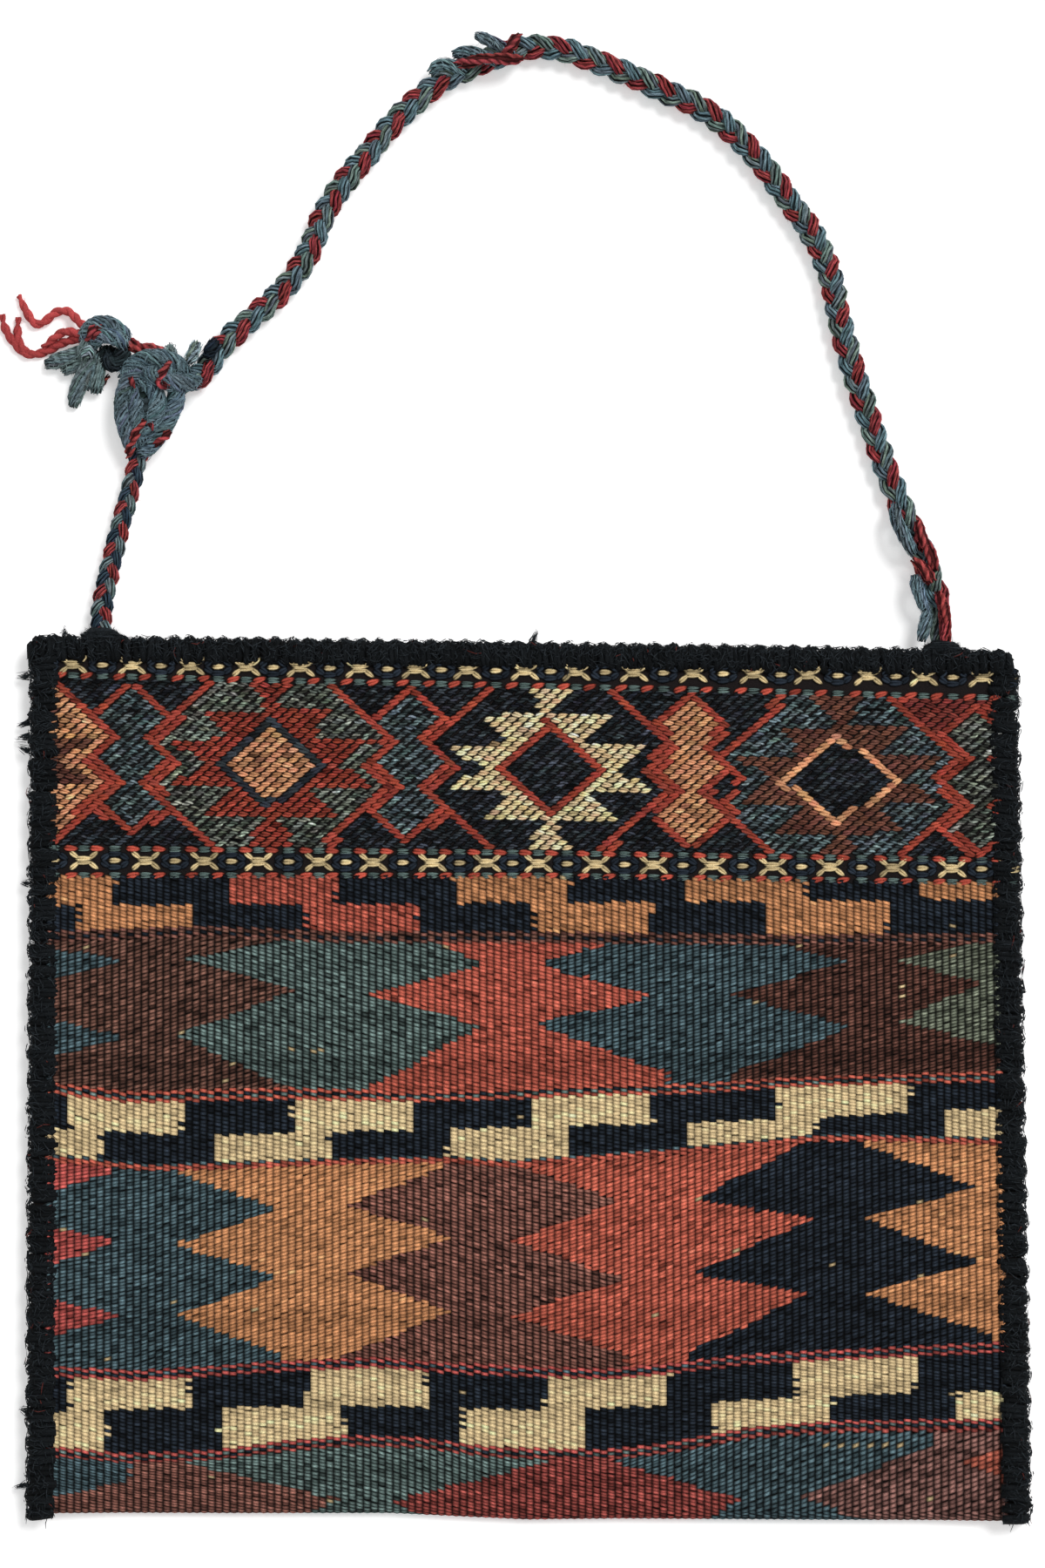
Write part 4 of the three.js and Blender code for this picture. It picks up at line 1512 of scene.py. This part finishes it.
def add_felt(piece, line, reach, tint, count):
    """Short fibres that lie every way over a bundle of yarns."""
    _, normals, binormals = frames(line[None])
    spacing = run_along(line)[-1] / (len(line) - 1)
    each = (count, 1)
    share = np.linspace(-0.5, 0.5, 3)
    course = chance.uniform(0, 2 * np.pi, each)
    curl = chance.normal(0, felt_curl, each) * np.cos(np.pi * share)
    step = chance.uniform(1, len(line) - 2, each) + (share * felt_length * np.cos(course) + curl) / spacing
    turn = chance.uniform(0, 2 * np.pi, each) + share * felt_length * np.sin(course) / reach
    place, across, upward = (
        np.stack([np.interp(step, np.arange(len(line)), values[:, axis]) for axis in range(3)], axis=-1)
        for values in (line, normals[0], binormals[0]))
    out = (reach + chance.normal(0, felt_loose, each))[..., None]
    strands = place + out * (np.cos(turn)[..., None] * across + np.sin(turn)[..., None] * upward)
    dyes = tint * chance.uniform(*felt_lights, each)
    add_tubes(piece, above_floor(strands, felt_floor_gap), felt_thickness / 2 * felt_taper, dyes, sides=4)


def add_bundles(
        piece, routes, tint, yarns, spread, radius, spacing=1.1, twist_length=26.0, fuzz_count=0,
        felt_count=0):
    """Yarns twisted round a core tube along each route, the core darkened as painted shade between the yarns.
    """
    for route in routes:
        line = smooth_line(route, spacing)
        steps = np.arange(len(line))
        taper = np.clip(np.minimum(steps, steps[::-1]) / taper_steps, end_share, 1)
        lines = wander(bundle(line, yarns, spread * (tied_share + (1 - tied_share) * taper), twist_length))
        lights = chance.uniform(*bundle_lights, (yarns, 1))
        dyes = tint * (lights + chance.normal(0, bundle_hue_spread, (yarns, 3)))
        add_tubes(
            piece, lines, radius * taper, dyes,
            ply_length=bundle_ply_length, ply_depth=ply_depth, cores=np.broadcast_to(line, lines.shape))
        # Painted shade: the dark core tube shows only where the yarns part
        add_tubes(piece, line[None], spread * taper, darkened(tint)[None])
        if fuzz_count:
            add_fuzz(piece, lines, dyes * bundle_fuzz_light, fuzz_count, bundle_fuzz_reach, fuzz_thickness)
        if felt_count:
            add_felt(piece, line, spread + felt_cover * radius, tint, felt_count)


def make_strap_knot():
    knot = Piece("strap_knot_yarn", "blue_yarn", "strap_knot")
    left_lobe = [
        (-123, 233, 8), (-128, 234, 9), (-132, 229.5, 9), (-133.6, 222, 8.5), (-132.6, 215, 8),
        (-129.5, 207.5, 6),
    ]
    right_lobe = [
        (-126, 236, 8), (-120, 235.5, 9), (-116.4, 230.5, 9), (-116, 224.6, 8.5), (-118.6, 218, 8),
        (-122.6, 212, 7.5), (-128.5, 206, 6),
    ]
    inner_lobe = [
        (-129, 229, 9), (-124.5, 229.5, 10.5), (-122, 223.5, 10.5), (-124, 216.5, 9.5), (-128, 209.5, 7.5),
    ]
    top_wrap = [(-112.5, 232.5, 7), (-117, 237, 9.5), (-123, 238, 10), (-129, 236.5, 9), (-134, 231, 6)]
    hook = [(-108.5, 231, 6), (-113, 229.8, 10), (-118, 230, 12), (-122.5, 231.5, 12), (-125, 235, 9)]
    middle_lobe = [(-131, 230, 8.5), (-129, 223.5, 9.5), (-128, 216, 9), (-128.5, 209, 7)]
    add_bundles(knot, [left_lobe, middle_lobe, right_lobe, inner_lobe, top_wrap, hook], knot_blue, **lobe)
    # Painted shade: a dark core bundle fills the knot's middle, where only shade shows
    core = [(-131, 231, 5), (-127, 226, 6), (-126, 218, 6), (-128.5, 209, 5)]
    add_bundles(knot, [core], darkened(strap_blue), **knot_shadow_core)
    tufts = [
        ([(-118, 237.5, 9), (-117.6, 240, 9), (-118.6, 242.5, 8)], strap_teal),
        ([(-112, 236.5, 8.5), (-110, 240.5, 9), (-109, 243.6, 8)], end_teal),
        ([(-106.5, 238.5, 7.5), (-104, 241.8, 8.5), (-102.8, 244.4, 7.5)], end_navy),
    ]
    for tuft, tint in tufts:
        add_bundles(knot, [tuft], tint, **tuft_end)
    red_bits = [
        [(-117.5, 237, 12.6), (-119.5, 233.5, 14.4), (-121.8, 229.5, 14.6), (-117.5, 228.4, 14)],
        [(-126, 217.5, 12), (-128.8, 213.5, 11.4), (-130.6, 209.5, 9.6), (-132.4, 205.5, 6.5)],
        [(-131, 231.5, 12.4), (-129.2, 228, 12.6)],
        [(-124.5, 216.5, 12.6), (-123.4, 214, 12)],
        [(-123, 209, 9.6), (-120.2, 211.5, 10.6), (-117.6, 214, 10)],
    ]
    add_bundles(knot, red_bits, strap_red, **red_bit)
    return knot.make(wool)


def make_tail():
    tail = Piece("tail_plait_yarn", "red_yarn", "tail_plait")
    tail_route = [(-118.5, 240, 9), (-124, 240.8, 8), (-129, 242, 7), (-133.5, 244, 6.5)]
    add_bundles(tail, [tail_route], strap_red, **tail_bundle)
    tail_knot = Piece("tail_knot_yarn", "blue_yarn", "tail_knot")
    over = [(-147, 244, 5), (-144, 248.5, 8.5), (-139, 249.5, 9.5), (-134.5, 247, 8), (-132.5, 244, 5.5)]
    front = [(-145, 242.5, 6), (-141, 245.5, 10), (-136, 245, 10), (-132.5, 242.5, 7)]
    under = [(-134, 243, 5), (-134, 239.5, 6), (-136.5, 236.5, 5.5), (-139.5, 238, 5.5), (-140, 242.5, 5.5)]
    add_bundles(tail_knot, [over, front], strap_blue, **coil)
    # Painted shade: the loop under the knot gets darkened blue, as a loop lying in shadow
    add_bundles(tail_knot, [under], darkened(strap_blue), **coil)
    # Painted shade: a near-black bundle fills the hollow under the tail knot
    hollow = [(-139, 242.5, 5), (-137.4, 240, 5), (-136.6, 238, 5)]
    add_bundles(tail_knot, [hollow], shaded_hollow_blue, **tail_hollow)
    red_turn = np.array([(-145.2, 243.4, 9.4), (-144, 246.5, 11.8), (-142.2, 248.8, 11)])
    add_bundles(tail_knot, [red_turn, red_turn + red_turn_step], strap_red, **tail_red)
    tuft = Piece("tail_tuft_yarn", "blue_yarn", "tail_tuft")
    brushes = [
        [(-143, 242, 6), (-149, 240, 4.5), (-155, 238, 3), (-160, 236.5, 2)],
        [(-143, 241, 6), (-148, 238, 4.5), (-154, 234, 2.5)],
        [(-143, 241, 6.5), (-147, 234, 4.5), (-150, 226, 2.2), (-151, 222.5, 2)],
        [(-143, 240, 6), (-146, 235, 4.5), (-147, 228, 2.5)],
        [(-142, 240, 6), (-142.5, 234, 4.5), (-143, 227, 2.5)],
        [(-145, 243.5, 7), (-146, 241.5, 8.5), (-147, 238, 7)],
    ]
    add_bundles(tuft, brushes, tuft_teal, **brush)
    pale_route = [(-146.5, 238.5, 9), (-145, 240.5, 10.5), (-143.4, 239, 9.5)]
    add_bundles(tuft, [pale_route], pale_teal, **pale_curl)
    red_route = [(-138.5, 233, 3), (-142, 229.6, 2.4), (-145, 230, 2)]
    add_bundles(tuft, [red_route], deep_red, **red_curl)
    return tail.make(wool), tail_knot.make(wool), tuft.make(wool)


loose_spacing = 0.8
loose_twist = 8.0
loose_lights = (0.8, 1.15)
loose_spread = 0.34
loose_thickness = 0.7
loose_taper_steps = 6
loose_tip = 0.55
loose_fuzz_count = 300
loose_fuzz_reach = 1.8
loose_fuzz_thickness = 0.14


def loose_yarn(name, routes, radius):
    """Soft two-ply yarn along one or more routes; the first is the main one."""
    piece = Piece(name + "_plies", "red_yarn", name)
    for route in routes:
        lines = bundle(smooth_line(raised(route, 0), loose_spacing), 2, radius * loose_spread, loose_twist)
        dyes = loose_red * chance.uniform(*loose_lights, (2, 1))
        taper = np.clip(np.arange(lines.shape[1])[::-1] / loose_taper_steps, loose_tip, 1)
        add_tubes(piece, lines, radius * loose_thickness * taper, dyes)
        add_fuzz(piece, lines, dyes, loose_fuzz_count, loose_fuzz_reach, loose_fuzz_thickness)
    piece.make(wool)


def make_splices():
    """Where the strap's yarns were joined: cut ends that stand out and yarns that run over the plait."""
    splices = Piece("strap_splices", "blue_yarn")
    blue_ends = [
        [(-4, 337, 7), (-8, 341, 8), (-13, 344, 7), (-17, 345.5, 6)],
        [(-10, 336, 7), (-16, 339, 8), (-20.5, 339.8, 7), (-24.5, 339, 6)],
        [(-20, 333, 7), (-25.5, 335.5, 7.5), (-29, 335.5, 6.5), (-32, 333, 5)],
        [(122, 190, 7), (122.5, 185, 9), (125, 179, 9.5), (128.5, 173.5, 8)],
        [(128.5, 166.5, 8), (130, 160, 8.5), (133, 154, 7)],
        [(133, 155, 7), (132, 150, 7), (131, 144.5, 5.5)],
    ]
    add_bundles(splices, blue_ends, strap_blue, **cut_end)
    red_runs = [
        [(-24, 335.2, 8.5), (-16, 336.6, 10), (-8, 337, 10), (-1, 337.6, 8.5)],
        [(-8, 337, 9), (-5.5, 341, 9.5), (-2, 345.6, 7.5)],
        [(129.5, 184.5, 8), (131, 179, 9.5), (134, 172.5, 9), (135.6, 168, 7)],
        [(128, 172, 8.5), (131.5, 168.5, 10), (134.5, 164, 9)],
        [(136.5, 161, 8), (138, 156, 9), (139.5, 150, 7)],
    ]
    add_bundles(splices, red_runs, strap_red, **red_run)
    return splices.make(wool)


strap_knot = make_strap_knot()
tail_plait, tail_knot, tail_tuft = make_tail()
splices = make_splices()
loose_yarn("upper_loose_yarn", [upper_yarn_route], yarn_diameter / 2)
loose_yarn("lower_loose_yarn", [lower_yarn_route, *lower_side_yarns], yarn_diameter / 2)


def cord_length(line):
    return run_along(line)[-1] * mm


cord_length(long_line)
cord_length(short_line)


# Floor and light

floor_half = 2.0
floor_white = 0.98
floor_glow = 0.3
sky_strength = 0.55
key_strength = 1.9
key_spread = 25
key_course = (-0.55, -0.6, -1.0)


def set_stage():
    floor_mesh = bpy.data.meshes.new("floor")
    corners = [(x * floor_half, y * floor_half, 0) for x, y in ((-1, -1), (1, -1), (1, 1), (-1, 1))]
    floor_mesh.from_pydata(corners, [], [(0, 1, 2, 3)])
    floor = add_object("floor", floor_mesh)
    paint = bpy.data.materials.new("floor_paint")
    paint.use_nodes = True
    shader = paint.node_tree.nodes["Principled BSDF"]
    set_inputs(
        shader, Base_Color=(floor_white, floor_white, floor_white, 1), Roughness=1, Specular_IOR_Level=0,
        Emission_Color=(1, 1, 1, 1), Emission_Strength=floor_glow)
    floor_mesh.materials.append(paint)


def set_light():
    world = bpy.data.worlds.new("studio")
    world.use_nodes = True
    sky = world.node_tree.nodes["Background"]
    set_inputs(sky, Color=(1, 1, 1, 1), Strength=sky_strength)
    bpy.context.scene.world = world
    key = bpy.data.lights.new("key", "SUN")
    key.energy = key_strength
    key.angle = math.radians(key_spread)
    lamp = add_object("key", key)
    lamp.rotation_euler = Vector(key_course).to_track_quat("-Z", "Y").to_euler()


set_stage()
set_light()
bpy.context.scene.view_settings.view_transform = "Standard"
